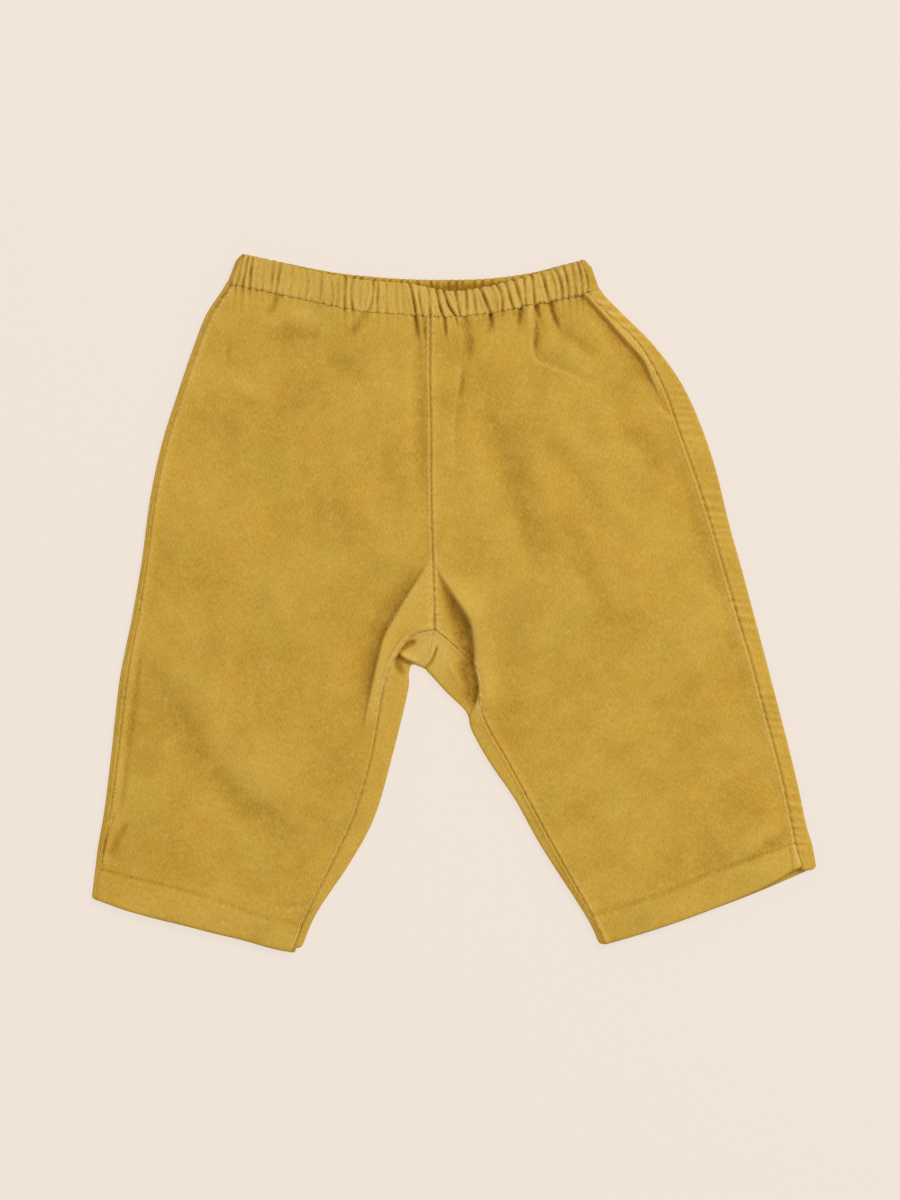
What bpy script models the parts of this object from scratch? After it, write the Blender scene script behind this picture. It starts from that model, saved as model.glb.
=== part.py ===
"""A baby's pull-on corduroy trousers, laid flat on their back.

X runs across the trousers, Y from the hems up to the waist, and Z up from the surface they lie on. The
origin is on that surface, under the middle of the outline. Right and left are the wearer's, so the right
leg is at -X. Every table is in millimetres, and millimetres() turns a point into metres.

Each leg is two cut panels. The back panel lies flat on the surface and folds up round both edges of the
leg, so that its seams with the front panel show on top, a little way in from the outline. The front panel
lies on it. An elastic casing, front and back, closes the waist.
"""

import math
from collections import namedtuple

import bmesh
import bpy
from mathutils import Vector

SEAM_GAP = 0.3  # between two pieces that are sewn together
LAYER_GAP = 0.35  # least space between the front of the trousers and the back
CLOTH = 1.2  # the corduroy's wall
HEM_CLOTH = 2.0  # the wall where the hem is turned up inside
CASING_WALL = 2.4  # two layers of cloth with the elastic between them

LOFT = 1.0  # how far the middle of the front stands above its seams
CENTRE_LOFT = 1.4  # how far the centre front seam stands above the side seams
HEM_BOW = 3.4  # how far the middle of a hem hangs below its ends
SEAM_RISE = 0.5  # the seam allowances under the side strips

LOFT_SQUARENESS = 0.6  # power of the loft's curve across a leg: less is squarer
FOLDS_AT_SEAMS = 0.25  # the share of a fold's height that is left at a seam
SEAM_ZONE = 0.03  # the share of a front's width over which folds die out beside a seam
STEEPEST_WALL = 1.5  # most that a slope lengthens the wall's upright thickness, in walls
WAIST_EASE = 3  # sections over which a panel leaves the casing's curve
HEM_EASE = 3  # sections over which the folds die out above the hem
BOW_EASE = 2  # sections above the hem at which its bow starts
TANGENT_STEP = 0.02  # sections each way over which a curve's direction is measured
SLOPE_STEP = 1.5  # length over which the front's slope is measured

GATHERS = 38  # on the front of the casing, and as many on the back
COLUMNS_PER_GATHER = 3
GATHER_HEIGHT = 1.25
GATHERS_AT_ENDS = 0.3  # the share of a gather's height that is left at the casing's ends
CASING_END_ZONE = 12  # one over the share of the casing's length that counts as its end
CASING_LIFT = 1.0  # how far the middle of the front casing stands off the back
CASING_RADIUS = 2.6  # of the fold at each end of the casing
CASING_ROWS = 3

STRIP_COLUMNS = 2
ARC_COLUMNS = 4
UNDER_COLUMNS = 7
FRONT_COLUMNS = 22
ROWS_ABOVE_CROTCH = 3  # in each section
ROWS_BELOW_CROTCH = 2
HEM_STEP = 0.05  # length of the step at the hem's stitching, as a share of a section

MUSTARD = (0.53, 0.32, 0.055)

# One row for each section of a leg, from the waist to the hem.
#   outer_edge   the outline on the hip's side
#   outer_seam   the side seam, on top
#   inner_seam   the centre front seam down to the crotch, then the inside leg seam, on top
#   inner_edge   the centre back seam down to the crotch, then the outline inside the leg
#   radius       of the fold at both edges
Section = namedtuple("Section", "outer_edge outer_seam inner_seam inner_edge radius")

RIGHT_LEG = [
    Section((-123.0, 171.0), (-119.8, 171.0), (-13.0, 154.0), (-13.0, 154.0), 2.5),
    Section((-133.5, 155.5), (-130.6, 155.0), (-13.0, 139.0), (-13.0, 139.0), 2.2),
    Section((-141.0, 136.5), (-138.3, 136.0), (-13.0, 117.5), (-13.0, 117.5), 1.9),
    Section((-149.0, 113.0), (-146.4, 112.5), (-12.5, 93.0), (-12.5, 93.0), 1.8),
    Section((-157.5, 86.0), (-154.9, 85.5), (-12.5, 66.0), (-12.5, 66.0), 1.8),
    Section((-164.0, 55.5), (-161.2, 55.5), (-12.0, 39.0), (-12.0, 39.0), 1.8),
    Section((-168.5, 22.0), (-165.6, 22.0), (-11.0, 12.0), (-11.0, 8.0), 1.8),
    Section((-173.5, -7.0), (-170.2, -7.5), (-10.5, -14.5), (-15.5, -37.5), 1.8),
    Section((-176.5, -21.5), (-173.0, -22.0), (-21.5, -17.5), (-20.5, -36.0), 1.8),
    Section((-180.0, -39.0), (-176.0, -39.0), (-30.5, -26.0), (-24.0, -38.5), 1.8),
    Section((-182.0, -54.5), (-178.0, -54.5), (-37.5, -44.0), (-25.0, -48.5), 1.8),
    Section((-185.0, -82.5), (-181.3, -82.5), (-44.5, -82.5), (-33.5, -83.5), 1.8),
    Section((-188.5, -111.0), (-185.0, -111.0), (-54.0, -115.0), (-43.0, -116.0), 1.8),
    Section((-192.0, -131.5), (-188.7, -132.0), (-65.0, -139.0), (-56.5, -141.0), 1.8),
    Section((-193.5, -143.5), (-190.3, -144.0), (-78.0, -166.5), (-73.0, -167.5), 2.1),
    Section((-195.5, -160.0), (-192.0, -160.5), (-87.0, -188.5), (-82.5, -187.0), 2.35),
]

LEFT_LEG = [
    Section((78.5, 168.0), (72.5, 166.5), (-13.0, 154.0), (-13.0, 154.0), 2.5),
    Section((90.5, 156.0), (84.5, 154.5), (-13.0, 139.0), (-13.0, 139.0), 2.2),
    Section((107.5, 139.0), (100.5, 138.0), (-13.0, 117.5), (-13.0, 117.5), 1.9),
    Section((122.5, 118.5), (113.0, 115.5), (-12.5, 93.0), (-12.5, 93.0), 1.8),
    Section((133.0, 96.0), (121.5, 92.0), (-12.5, 66.0), (-12.5, 66.0), 1.8),
    Section((141.5, 70.5), (130.0, 68.0), (-12.0, 39.0), (-12.0, 39.0), 1.8),
    Section((148.5, 42.0), (139.0, 40.0), (-11.0, 12.0), (-11.0, 8.0), 1.8),
    Section((156.0, 15.0), (147.0, 12.5), (-10.5, -14.5), (-15.5, -37.5), 1.8),
    Section((163.5, -13.0), (155.0, -15.0), (0.5, -26.5), (-4.5, -48.0), 1.8),
    Section((169.5, -35.5), (161.5, -37.0), (11.0, -42.5), (6.5, -59.0), 1.8),
    Section((175.5, -58.5), (167.5, -60.0), (16.0, -63.0), (9.5, -69.0), 1.8),
    Section((181.0, -80.0), (173.5, -82.0), (29.0, -86.0), (19.0, -86.0), 1.8),
    Section((186.0, -101.0), (178.5, -103.0), (40.0, -106.5), (33.0, -106.5), 1.8),
    Section((190.0, -120.0), (182.5, -122.0), (53.5, -131.5), (47.0, -131.5), 1.8),
    Section((193.0, -130.0), (184.0, -130.5), (75.5, -169.0), (71.0, -169.0), 2.1),
    Section((195.5, -143.5), (187.5, -144.0), (83.0, -184.0), (78.5, -184.5), 2.35),
]

CROTCH = 7  # the section where the four panels' seams meet
HEM = 14  # the section at the hem's stitching
CROTCH_WAY = Vector((-0.5, -0.87))  # out of the cloth at the crotch, where both back panels turn up

# One row for each station along the casing, from the right side seam to the left one. The front and the
# back of the casing share the bottom edge, and the front's top edge sags in the middle.
Station = namedtuple("Station", "front_top back_top bottom")

CASING = [
    Station((-117.0, 188.8), (-117.0, 188.8), (-123.0, 171.5)),
    Station((-95.5, 183.8), (-95.5, 184.2), (-100.5, 167.3)),
    Station((-67.5, 177.3), (-67.5, 178.6), (-73.5, 161.3)),
    Station((-46.0, 173.8), (-46.0, 176.0), (-50.0, 156.8)),
    Station((-24.0, 172.0), (-24.0, 174.5), (-28.0, 155.0)),
    Station((-2.5, 168.0), (-2.5, 174.2), (-4.0, 153.8)),
    Station((18.0, 170.5), (18.0, 174.8), (19.0, 155.6)),
    Station((41.0, 176.3), (41.0, 177.8), (43.0, 160.4)),
    Station((56.5, 181.0), (56.5, 181.8), (61.0, 163.7)),
    Station((72.0, 184.5), (72.0, 184.5), (78.5, 168.5)),
]

CASING_SEAM_INSET = (3.0, 4.5)  # from the outline to the side seam on top, right and left

# The largest folds of the front, each along a line through its points. A trough has a negative rise.
# low_side and high_side are the fold's reach on its right and on its left, going from its first point to
# its last.
Fold = namedtuple("Fold", "name rise low_side high_side points")

FOLDS = [
    Fold("right of centre seam", -1.3, 5, 4, [(-20.5, 151), (-19, 120), (-17.5, 72), (-15, 24)]),
    Fold("left pleat", -1.8, 4, 5, [(5, 152), (5, 127), (1, 100), (0, 60)]),
    Fold("pleat top", 1.0, 6, 6, [(-4, 150), (-5, 110), (-6, 70)]),
    Fold("hip fold", -1.7, 8, 7, [(43, 158), (46, 149), (43, 133), (61, 124), (75, 117)]),
    Fold("hip crest", 0.8, 8, 8, [(55, 150), (58, 136), (80, 124), (94, 112)]),
    Fold("second hip fold", -1.3, 5, 5, [(52, 160), (57, 149), (70, 138), (79, 128)]),
    Fold("long thigh trough", -1.2, 9, 9, [(14, 119), (23, 92), (33, 72), (40, 45), (52, 5)]),
    Fold("long thigh crest", 0.7, 9, 9, [(5, 118), (9, 85), (20, 55), (34, 15), (44, -30)]),
    Fold("outer thigh trough", -1.0, 8, 8, [(39, 100), (63, 74), (76, 52), (96, 18)]),
    Fold("curved hip trough", -0.9, 7, 7, [(85, 108), (91, 93), (104, 83), (122, 52)]),
    Fold("side trough", -1.4, 5, 4, [(69, 164), (79, 156), (88, 147), (103, 129), (110, 112), (119, 96)]),
    Fold("crotch trough", -1.5, 7, 7, [(-9, 13), (-2, 3), (4, -14), (8, -32), (10, -46)]),
    Fold("crotch crest", 1.6, 7, 10, [(2, 22), (9, 2), (15, -18), (18, -38), (20, -54)]),
    Fold("right groin trough", -1.3, 9, 7, [(-19, 12), (-32, -4), (-42, -19), (-46, -45), (-50, -76)]),
    Fold("right groin crest", 0.8, 7, 7, [(-14, 4), (-25, -10), (-34, -24), (-39, -46)]),
    Fold("under the waist", -1.0, 8, 8, [(-98, 145), (-72, 143), (-49, 123), (-40, 112)]),
    Fold("right waist fold", -1.2, 5, 5, [(-49, 153), (-60, 140), (-66, 131)]),
    Fold("right shin trough", -1.4, 10, 10, [(-166, -30), (-147, -59), (-130, -89), (-79, -137)]),
    Fold("right shin crest", 0.8, 10, 10, [(-152, -28), (-131, -58), (-112, -84), (-86, -108)]),
    Fold("right hem fold", -0.8, 7, 7, [(-178, -118), (-184, -131), (-188, -139)]),
    Fold("left hem fold", -1.0, 7, 7, [(118, -142), (135, -134), (160, -126), (180, -118)]),
]


def millimetres(point, height):
    """A point of the tables and a height, as a place in metres."""
    return Vector((point.x, point.y, height)) * 0.001


def clamp(value, low=0.0, high=1.0):
    return max(low, min(high, value))


def smooth(value):
    """0 at 0 and below, 1 at 1 and above, with a soft start and end."""
    t = clamp(value)
    return t * t * (3 - 2 * t)


def spline(values, where):
    """The smooth curve through equally spaced values, at a place counted in values."""
    index = min(int(where), len(values) - 2)
    t = where - index
    here, after = values[index], values[index + 1]
    before = values[index - 1] if index else here * 2 - after
    beyond = values[index + 2] if index + 2 < len(values) else after * 2 - here
    slope_in, slope_out = (after - before) * 0.5, (beyond - here) * 0.5
    return (
        here * (2 * t**3 - 3 * t**2 + 1)
        + slope_in * (t**3 - 2 * t**2 + t)
        + after * (3 * t**2 - 2 * t**3)
        + slope_out * (t**3 - t**2)
    )


class Leg:
    """One leg's sections as smooth curves, counted in sections from the waist."""

    def __init__(self, sections, side):
        self.side = side
        self.columns = {
            name: [Vector(getattr(section, name)) for section in sections]
            for name in ("outer_edge", "outer_seam", "inner_seam", "inner_edge")
        }
        self.radii = [section.radius for section in sections]
        self.last = len(sections) - 1

    def at(self, name, where):
        """A curve's point. The inner curves turn sharply at the crotch, so each is two that meet there."""
        points = self.columns[name]
        if name.startswith("outer"):
            return spline(points, where)
        if where < CROTCH:
            return spline(points[: CROTCH + 1], where)
        return spline(points[CROTCH:], where - CROTCH)

    def radius(self, where):
        return spline(self.radii, where)

    def across(self, name, where):
        """The unit direction square to a curve, pointing out of the leg towards the hip."""
        low, high = max(0.0, where - TANGENT_STEP), min(float(self.last), where + TANGENT_STEP)
        if name == "inner_edge" and where >= CROTCH:
            low = max(low, float(CROTCH))
        along = (self.at(name, high) - self.at(name, low)).normalized()
        way = Vector((along.y, -along.x)) * self.side
        if name == "inner_edge" and where >= CROTCH:
            way = way.lerp(-CROTCH_WAY, smooth(CROTCH + 1 - where)).normalized()
        return way


RIGHT = Leg(RIGHT_LEG, side=1)
LEFT = Leg(LEFT_LEG, side=-1)


def station(name, where):
    """The casing's curve of that name, at a place from 0, the right side seam, to 1, the left one."""
    return spline([Vector(getattr(row, name)) for row in CASING], where * (len(CASING) - 1))


def casing_bottom_height(x, steps=60):
    """How far up the casing's bottom edge is at x, by straight lines between steps along it."""
    edge = [station("bottom", step / steps) for step in range(steps + 1)]
    for left, right in zip(edge, edge[1:]):
        if left.x <= x <= right.x:
            return left.y + (right.y - left.y) * (x - left.x) / (right.x - left.x)
    return edge[0].y if x < edge[0].x else edge[-1].y


def cloth_at(where):
    """The wall of a panel, which doubles at the hem's stitching."""
    return CLOTH + (HEM_CLOTH - CLOTH) * clamp((where - HEM) / HEM_STEP)


def fold_rise(fold, point):
    """What one fold adds to the front's height: a bell across its line, faded at both ends."""
    best = None
    points = [Vector(p) for p in fold.points]
    lengths = [(b - a).length for a, b in zip(points, points[1:])]
    done = 0.0
    for a, b, length in zip(points, points[1:], lengths):
        along = (b - a) / length
        t = clamp((point - a).dot(along), 0.0, length)
        away = point - (a + along * t)
        turned_left = along.x * away.y - along.y * away.x > 0
        if best is None or away.length < best[0]:
            best = (away.length, turned_left, (done + t) / sum(lengths))
        done += length
    distance, turned_left, share = best
    reach = fold.high_side if turned_left else fold.low_side
    start, finish = smooth(share / 0.15 + 0.35), smooth((1 - share) / 0.3 + 0.1)
    return fold.rise * start * finish * math.exp(-((distance / reach) ** 2))


def front_height(leg, point, share, where):
    """The front's outer height at a point: its seams' height, the loft between them, and the folds."""
    centre = CENTRE_LOFT * (1 - share) * (1 - smooth((where - CROTCH + 2) / 2))
    at_seams = 2 * leg.radius(where) + centre
    between = (4 * share * (1 - share)) ** LOFT_SQUARENESS
    waist, hem = smooth(where / 2.5 + 0.2), smooth((HEM + 1.6 - where) / HEM_EASE)
    folds = sum(fold_rise(fold, point) for fold in FOLDS)
    off_seams = smooth(share / SEAM_ZONE) * smooth((1 - share) / SEAM_ZONE)
    folds *= FOLDS_AT_SEAMS + (1 - FOLDS_AT_SEAMS) * off_seams
    return at_seams + LOFT * between * waist * hem + folds * hem


def front_point(leg, share, where):
    """A point of the front panel, from its inner seam at share 0 to its side seam at share 1."""
    start = leg.at("inner_seam", where) + leg.across("inner_seam", where) * SEAM_GAP / 2
    end = leg.at("outer_seam", where) - leg.across("outer_seam", where) * SEAM_GAP / 2
    point = start.lerp(end, share)
    top = leg.at("inner_seam", 0).lerp(leg.at("outer_seam", 0), share)
    edge = casing_bottom_height(top.x) - SEAM_GAP - top.y
    point.y += edge * (1 - smooth(where / WAIST_EASE))
    point.y -= HEM_BOW * 4 * share * (1 - share) * smooth((where - HEM + BOW_EASE) / HEM_EASE)
    return point


def front_wall(leg, share, where):
    """(outer place, inner place) of the front panel. The wall is measured square to its slope."""
    point = front_point(leg, share, where)
    height = front_height(leg, point, share, where)
    slope = Vector(
        (
            front_height(leg, point + Vector((SLOPE_STEP, 0)), share, where) - height,
            front_height(leg, point + Vector((0, SLOPE_STEP)), share, where) - height,
        )
    ) / SLOPE_STEP
    wall = cloth_at(where) * min(STEEPEST_WALL, math.sqrt(1 + slope.length_squared))
    lowest = cloth_at(where) + LAYER_GAP + wall
    height = max(height, lowest)
    return millimetres(point, height), millimetres(point, height - wall)


def arc_wall(edge, outward, radius, wall, turn):
    """(outer, inner) of the fold round an edge, from turn -1, under the cloth, to turn 1, on top."""
    angle = turn * math.pi / 2
    centre = edge - outward * radius
    return tuple(
        millimetres(centre + outward * r * math.cos(angle), radius + r * math.sin(angle))
        for r in (radius, radius - wall)
    )


def strip_wall(seam, start, height, wall, share):
    """(outer, inner) of the strip on top, from the fold at share 0 to the seam at share 1."""
    point = start.lerp(seam, share)
    rise = SEAM_RISE * smooth(share * 1.5)
    return millimetres(point, height + rise), millimetres(point, height - wall)


def back_wall(leg, column, where):
    """(outer, inner) of the back panel, column by column from its inner seam round underneath."""
    wall, radius = cloth_at(where), leg.radius(where)
    half_gap = SEAM_GAP / 2
    outer_edge, outer_way = leg.at("outer_edge", where), leg.across("outer_edge", where)
    under_end = outer_edge - outer_way * radius
    bow = HEM_BOW * smooth((where - HEM + BOW_EASE) / HEM_EASE)
    if where < CROTCH:
        seam_way = leg.across("inner_edge", where)
        under_start = leg.at("inner_edge", where) + seam_way * half_gap
    else:
        inner_edge, inner_way = leg.at("inner_edge", where), -leg.across("inner_edge", where)
        at_seam = smooth(CROTCH + 1 - where)
        inner_edge = inner_edge + Vector((-leg.side * half_gap, 0)) * at_seam
        under_start = inner_edge - inner_way * radius
    if column < STRIP_COLUMNS:
        seam = leg.at("inner_seam", where) - leg.across("inner_seam", where) * half_gap
        seam = seam + Vector((-leg.side * half_gap, 0)) * at_seam
        return strip_wall(seam, under_start, 2 * radius, wall, 1 - column / STRIP_COLUMNS)
    column -= STRIP_COLUMNS
    if column < ARC_COLUMNS:
        return arc_wall(inner_edge, inner_way, radius, wall, 1 - 2 * column / ARC_COLUMNS)
    column -= ARC_COLUMNS
    if column <= UNDER_COLUMNS:
        share = column / UNDER_COLUMNS
        point = under_start.lerp(under_end, share)
        if where == 0:
            point.y = casing_bottom_height(point.x) - SEAM_GAP / 2
        point.y -= bow * 4 * share * (1 - share)
        return millimetres(point, 0), millimetres(point, wall)
    column -= UNDER_COLUMNS
    if column <= ARC_COLUMNS:
        return arc_wall(outer_edge, outer_way, radius, wall, 2 * column / ARC_COLUMNS - 1)
    column -= ARC_COLUMNS
    seam = leg.at("outer_seam", where) + leg.across("outer_seam", where) * half_gap
    return strip_wall(seam, under_end, 2 * radius, wall, column / STRIP_COLUMNS)


def gather_rise(where, down):
    """The height of the casing's gathers: uneven waves along it, leaning and uneven from top to bottom."""
    waves = where * GATHERS + 0.45 * math.sin(9 * where + 1) + 0.35 * math.sin(23 * where)
    lean = 0.5 * math.sin(5 * where + 0.6) * down
    wave = 0.5 + 0.5 * math.cos(2 * math.pi * (waves + lean))
    strength = 0.75 + 0.25 * math.sin(31 * where + 2) * math.cos(3 * down)
    return GATHER_HEIGHT * strength * wave


def casing_point(top_edge, where, down, inset_right, inset_left):
    """A place on the casing, from its top edge at down 0 to its bottom edge at 1, its ends drawn in."""
    point, right_end, left_end = (
        station(top_edge, place).lerp(station("bottom", place), down) for place in (where, 0, 1)
    )
    share = (point.x - right_end.x) / (left_end.x - right_end.x)
    point.x += inset_right * (1 - share) - inset_left * share
    point.y += SEAM_GAP / 2 * down
    return point


def casing_lift(where, down):
    """How far the front stands off the back, where the waist gapes."""
    return CASING_LIFT * math.sin(math.pi * where) ** 2 * (1 - 0.4 * down)


def off_ends(where):
    """0 at both ends of the casing and 1 along the rest of it."""
    return smooth(where * CASING_END_ZONE) * smooth((1 - where) * CASING_END_ZONE)


def casing_front_wall(where, down):
    """(outer, inner) of the casing's front, from the right side seam to the left one."""
    insets = [inset + SEAM_GAP / 2 for inset in CASING_SEAM_INSET]
    point = casing_point("front_top", where, down, *insets)
    base = 2 * CASING_RADIUS - CASING_WALL + casing_lift(where, down)
    gathers = gather_rise(where, down)
    gathers *= GATHERS_AT_ENDS + (1 - GATHERS_AT_ENDS) * off_ends(where)
    return millimetres(point, base + CASING_WALL + gathers), millimetres(point, base)


def casing_back_wall(column, last_column, down):
    """(outer, inner) of the casing's back, from the right side seam underneath to the left one."""
    under = last_column - 2 * (STRIP_COLUMNS + ARC_COLUMNS)
    from_left = column > last_column / 2
    edge = casing_point("back_top", int(from_left), down, 0, 0)
    outward = Vector((1 if from_left else -1, 0))
    inset = CASING_SEAM_INSET[from_left] - SEAM_GAP / 2
    near = last_column - column if from_left else column
    if near < STRIP_COLUMNS:
        seam = edge - outward * inset
        start = edge - outward * CASING_RADIUS
        height = 2 * CASING_RADIUS
        return strip_wall(seam, start, height, CASING_WALL, 1 - near / STRIP_COLUMNS)
    near -= STRIP_COLUMNS
    if near < ARC_COLUMNS:
        return arc_wall(edge, outward, CASING_RADIUS, CASING_WALL, 1 - 2 * near / ARC_COLUMNS)
    where = (column - STRIP_COLUMNS - ARC_COLUMNS) / under
    point = casing_point("back_top", where, down, CASING_RADIUS, CASING_RADIUS)
    room = 2 * (CASING_RADIUS - CASING_WALL) + casing_lift(where, down) - SEAM_GAP / 2
    rise = room * off_ends(where) * gather_rise(where, down) / GATHER_HEIGHT
    return millimetres(point, 0), millimetres(point, CASING_WALL + rise)


def material(name):
    made = bpy.data.materials.new(name)
    made.use_nodes = True
    shader = made.node_tree.nodes["Principled BSDF"]
    shader.inputs["Base Color"].default_value = (*MUSTARD, 1)
    shader.inputs["Roughness"].default_value = 0.9
    shader.inputs["Metallic"].default_value = 0.0
    return made


def cloth_piece(name, columns, rows, wall, missing=lambda column, row: False):
    """One cut piece: a grid of faces pulled out into a wall.

    wall(column, row) gives the outer and inner places of a corner of the grid, and missing(column, row) says
    which of the grid's faces the piece doesn't have.
    """
    mesh = bmesh.new()
    bmesh.ops.create_grid(mesh, x_segments=columns, y_segments=rows, size=0.5)

    def cell(place):
        return round((place.x + 0.5) * columns, 3), round((0.5 - place.y) * rows, 3)

    cut_out = [face for face in mesh.faces if missing(*cell(face.calc_center_median()))]
    bmesh.ops.delete(mesh, geom=cut_out, context="FACES")
    made = bmesh.ops.extrude_face_region(mesh, geom=mesh.faces[:])
    inner = {item for item in made["geom"] if isinstance(item, bmesh.types.BMVert)}
    for vertex in mesh.verts:
        column, row = cell(vertex.co)
        vertex.co = wall(int(column), int(row))[vertex in inner]
    bmesh.ops.recalc_face_normals(mesh, faces=mesh.faces[:])
    bmesh.ops.triangulate(mesh, faces=mesh.faces[:])
    data = bpy.data.meshes.new(name)
    mesh.to_mesh(data)
    mesh.free()
    data.shade_smooth()
    data.set_sharp_from_angle(angle=math.radians(50))
    data.materials.append(material(name))
    piece = bpy.data.objects.new(name, data)
    trousers.objects.link(piece)
    return piece


def section_places(leg):
    """Where the rows of a panel lie, in sections: evenly, with the hem's step between two close rows."""
    above = [row / ROWS_ABOVE_CROTCH for row in range(CROTCH * ROWS_ABOVE_CROTCH)]
    below = range((leg.last - CROTCH) * ROWS_BELOW_CROTCH + 1)
    return sorted(above + [CROTCH + row / ROWS_BELOW_CROTCH for row in below] + [HEM + HEM_STEP])


def denser_at_ends(share, pull=0.6):
    """Spreads even shares so that the columns lie closer together near both seams."""
    return share - pull * math.sin(2 * math.pi * share) / (2 * math.pi)


def make_front(name, leg):
    places = section_places(leg)

    def wall(column, row):
        return front_wall(leg, denser_at_ends(column / FRONT_COLUMNS), places[row])

    return cloth_piece(name, FRONT_COLUMNS, len(places) - 1, wall)


def make_back(name, leg):
    """The back panel's grid is L-shaped: above the crotch it ends at the centre back seam, underneath."""
    places = section_places(leg)
    turned_up = STRIP_COLUMNS + ARC_COLUMNS
    columns = 2 * turned_up + UNDER_COLUMNS
    crotch_row = places.index(CROTCH)

    def missing(column, row):
        return column < turned_up and row < crotch_row

    def wall(column, row):
        return back_wall(leg, column, places[row])

    return cloth_piece(name, columns, len(places) - 1, wall, missing)


def make_casing_front():
    columns = GATHERS * COLUMNS_PER_GATHER

    def wall(column, row):
        return casing_front_wall(column / columns, row / CASING_ROWS)

    return cloth_piece("waist_casing_front", columns, CASING_ROWS, wall)


def make_casing_back():
    columns = GATHERS * COLUMNS_PER_GATHER + 2 * (STRIP_COLUMNS + ARC_COLUMNS)

    def wall(column, row):
        return casing_back_wall(column, columns, row / CASING_ROWS)

    return cloth_piece("waist_casing_back", columns, CASING_ROWS, wall)


for startup_object in list(bpy.data.objects):
    bpy.data.objects.remove(startup_object)
trousers = bpy.data.collections.new("Baby trousers")
bpy.context.scene.collection.children.link(trousers)

make_front("right_leg_front", RIGHT)
make_front("left_leg_front", LEFT)
make_back("right_leg_back", RIGHT)
make_back("left_leg_back", LEFT)
make_casing_front()
make_casing_back()
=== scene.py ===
import bpy
import numpy as np
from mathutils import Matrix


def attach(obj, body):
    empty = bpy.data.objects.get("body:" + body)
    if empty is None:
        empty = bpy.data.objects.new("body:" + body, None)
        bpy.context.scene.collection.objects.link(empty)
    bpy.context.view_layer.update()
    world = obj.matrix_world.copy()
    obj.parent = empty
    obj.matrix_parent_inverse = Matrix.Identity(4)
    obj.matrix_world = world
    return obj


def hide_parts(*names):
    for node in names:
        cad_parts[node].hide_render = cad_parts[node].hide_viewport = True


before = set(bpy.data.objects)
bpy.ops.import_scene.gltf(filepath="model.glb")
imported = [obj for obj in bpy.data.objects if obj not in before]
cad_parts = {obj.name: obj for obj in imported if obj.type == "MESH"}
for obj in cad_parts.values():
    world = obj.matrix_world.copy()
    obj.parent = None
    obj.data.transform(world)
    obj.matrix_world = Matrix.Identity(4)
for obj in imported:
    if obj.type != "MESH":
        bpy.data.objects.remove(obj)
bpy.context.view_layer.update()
print("frame loaded")

# A baby's needlecord pull-on trousers, laid flat on their back and seen from straight above.
# Lengths are millimetres until a mesh is made. X runs across, Y up to the waist, Z up from the floor.
# Right and left are the wearer's, so the right leg is at -X.

millimetre = 0.001
crotchRow = 7  # the row of a leg's table where all four panels meet
hemRow = 14  # the row at the hem's stitching
lastRow = 15
crotchWay = np.array([-0.5, -0.87])  # out of the cloth at the crotch


# Maths that all the pieces share.

def smoothStep(value, low=0.0, high=1.0):
    # 0 up to low, 1 from high, and 3t^2 - 2t^3 between them
    t = np.clip((value - low) / (high - low), 0.0, 1.0)
    return t * t * (3.0 - 2.0 * t)


def bell(distance, reach):
    # exp of minus the square of the distance over the reach
    return np.exp(-np.square(distance / reach))


def softFloor(height, lowest, softness=0.3):
    # the height where it is well above the lowest, and a smooth bend towards the lowest below that
    return lowest + softness * np.logaddexp(0.0, (height - lowest) / softness)


def curveThrough(points, where):
    # Catmull-Rom curve through numbered points, at places counted in points
    points = np.asarray(points, float)
    index = np.clip(np.floor(where).astype(int), 0, len(points) - 2)
    t = (where - index)[..., None]
    ends = 2 * points[:1] - points[1:2], 2 * points[-1:] - points[-2:-1]
    padded = np.concatenate([ends[0], points, ends[1]])
    before, here, after, beyond = (padded[index + step] for step in range(4))
    slopeIn, slopeOut = (after - before) / 2, (beyond - here) / 2
    return (
        here * (2 * t**3 - 3 * t**2 + 1)
        + slopeIn * (t**3 - 2 * t**2 + t)
        + after * (3 * t**2 - 2 * t**3)
        + slopeOut * (t**3 - t**2)
    )


def distanceAlong(line):
    # running length along the first axis of an array of points
    steps = np.linalg.norm(np.diff(line, axis=0), axis=-1)
    return np.concatenate([np.zeros_like(steps[:1]), np.cumsum(steps, axis=0)])


def puckerWave(along, spacing, seed):
    # uneven ripple between -1 and 1: a sine whose spacing and strength wander along the seam
    wander = 1.7 * np.sin(along * 0.19 + seed) + 1.2 * np.sin(along * 0.071 + 2.3 * seed)
    strength = 0.62 + 0.38 * np.sin(along * 0.117 + 1.7 * seed)
    return strength * np.sin(2 * np.pi * along / spacing + wander)


# The two legs have one row for each section, from the waist to the hem. Its columns are the outer edge, the
# side seam, the inner seam (centre front, then inside leg), the inner edge and the radius of both edges.

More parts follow.
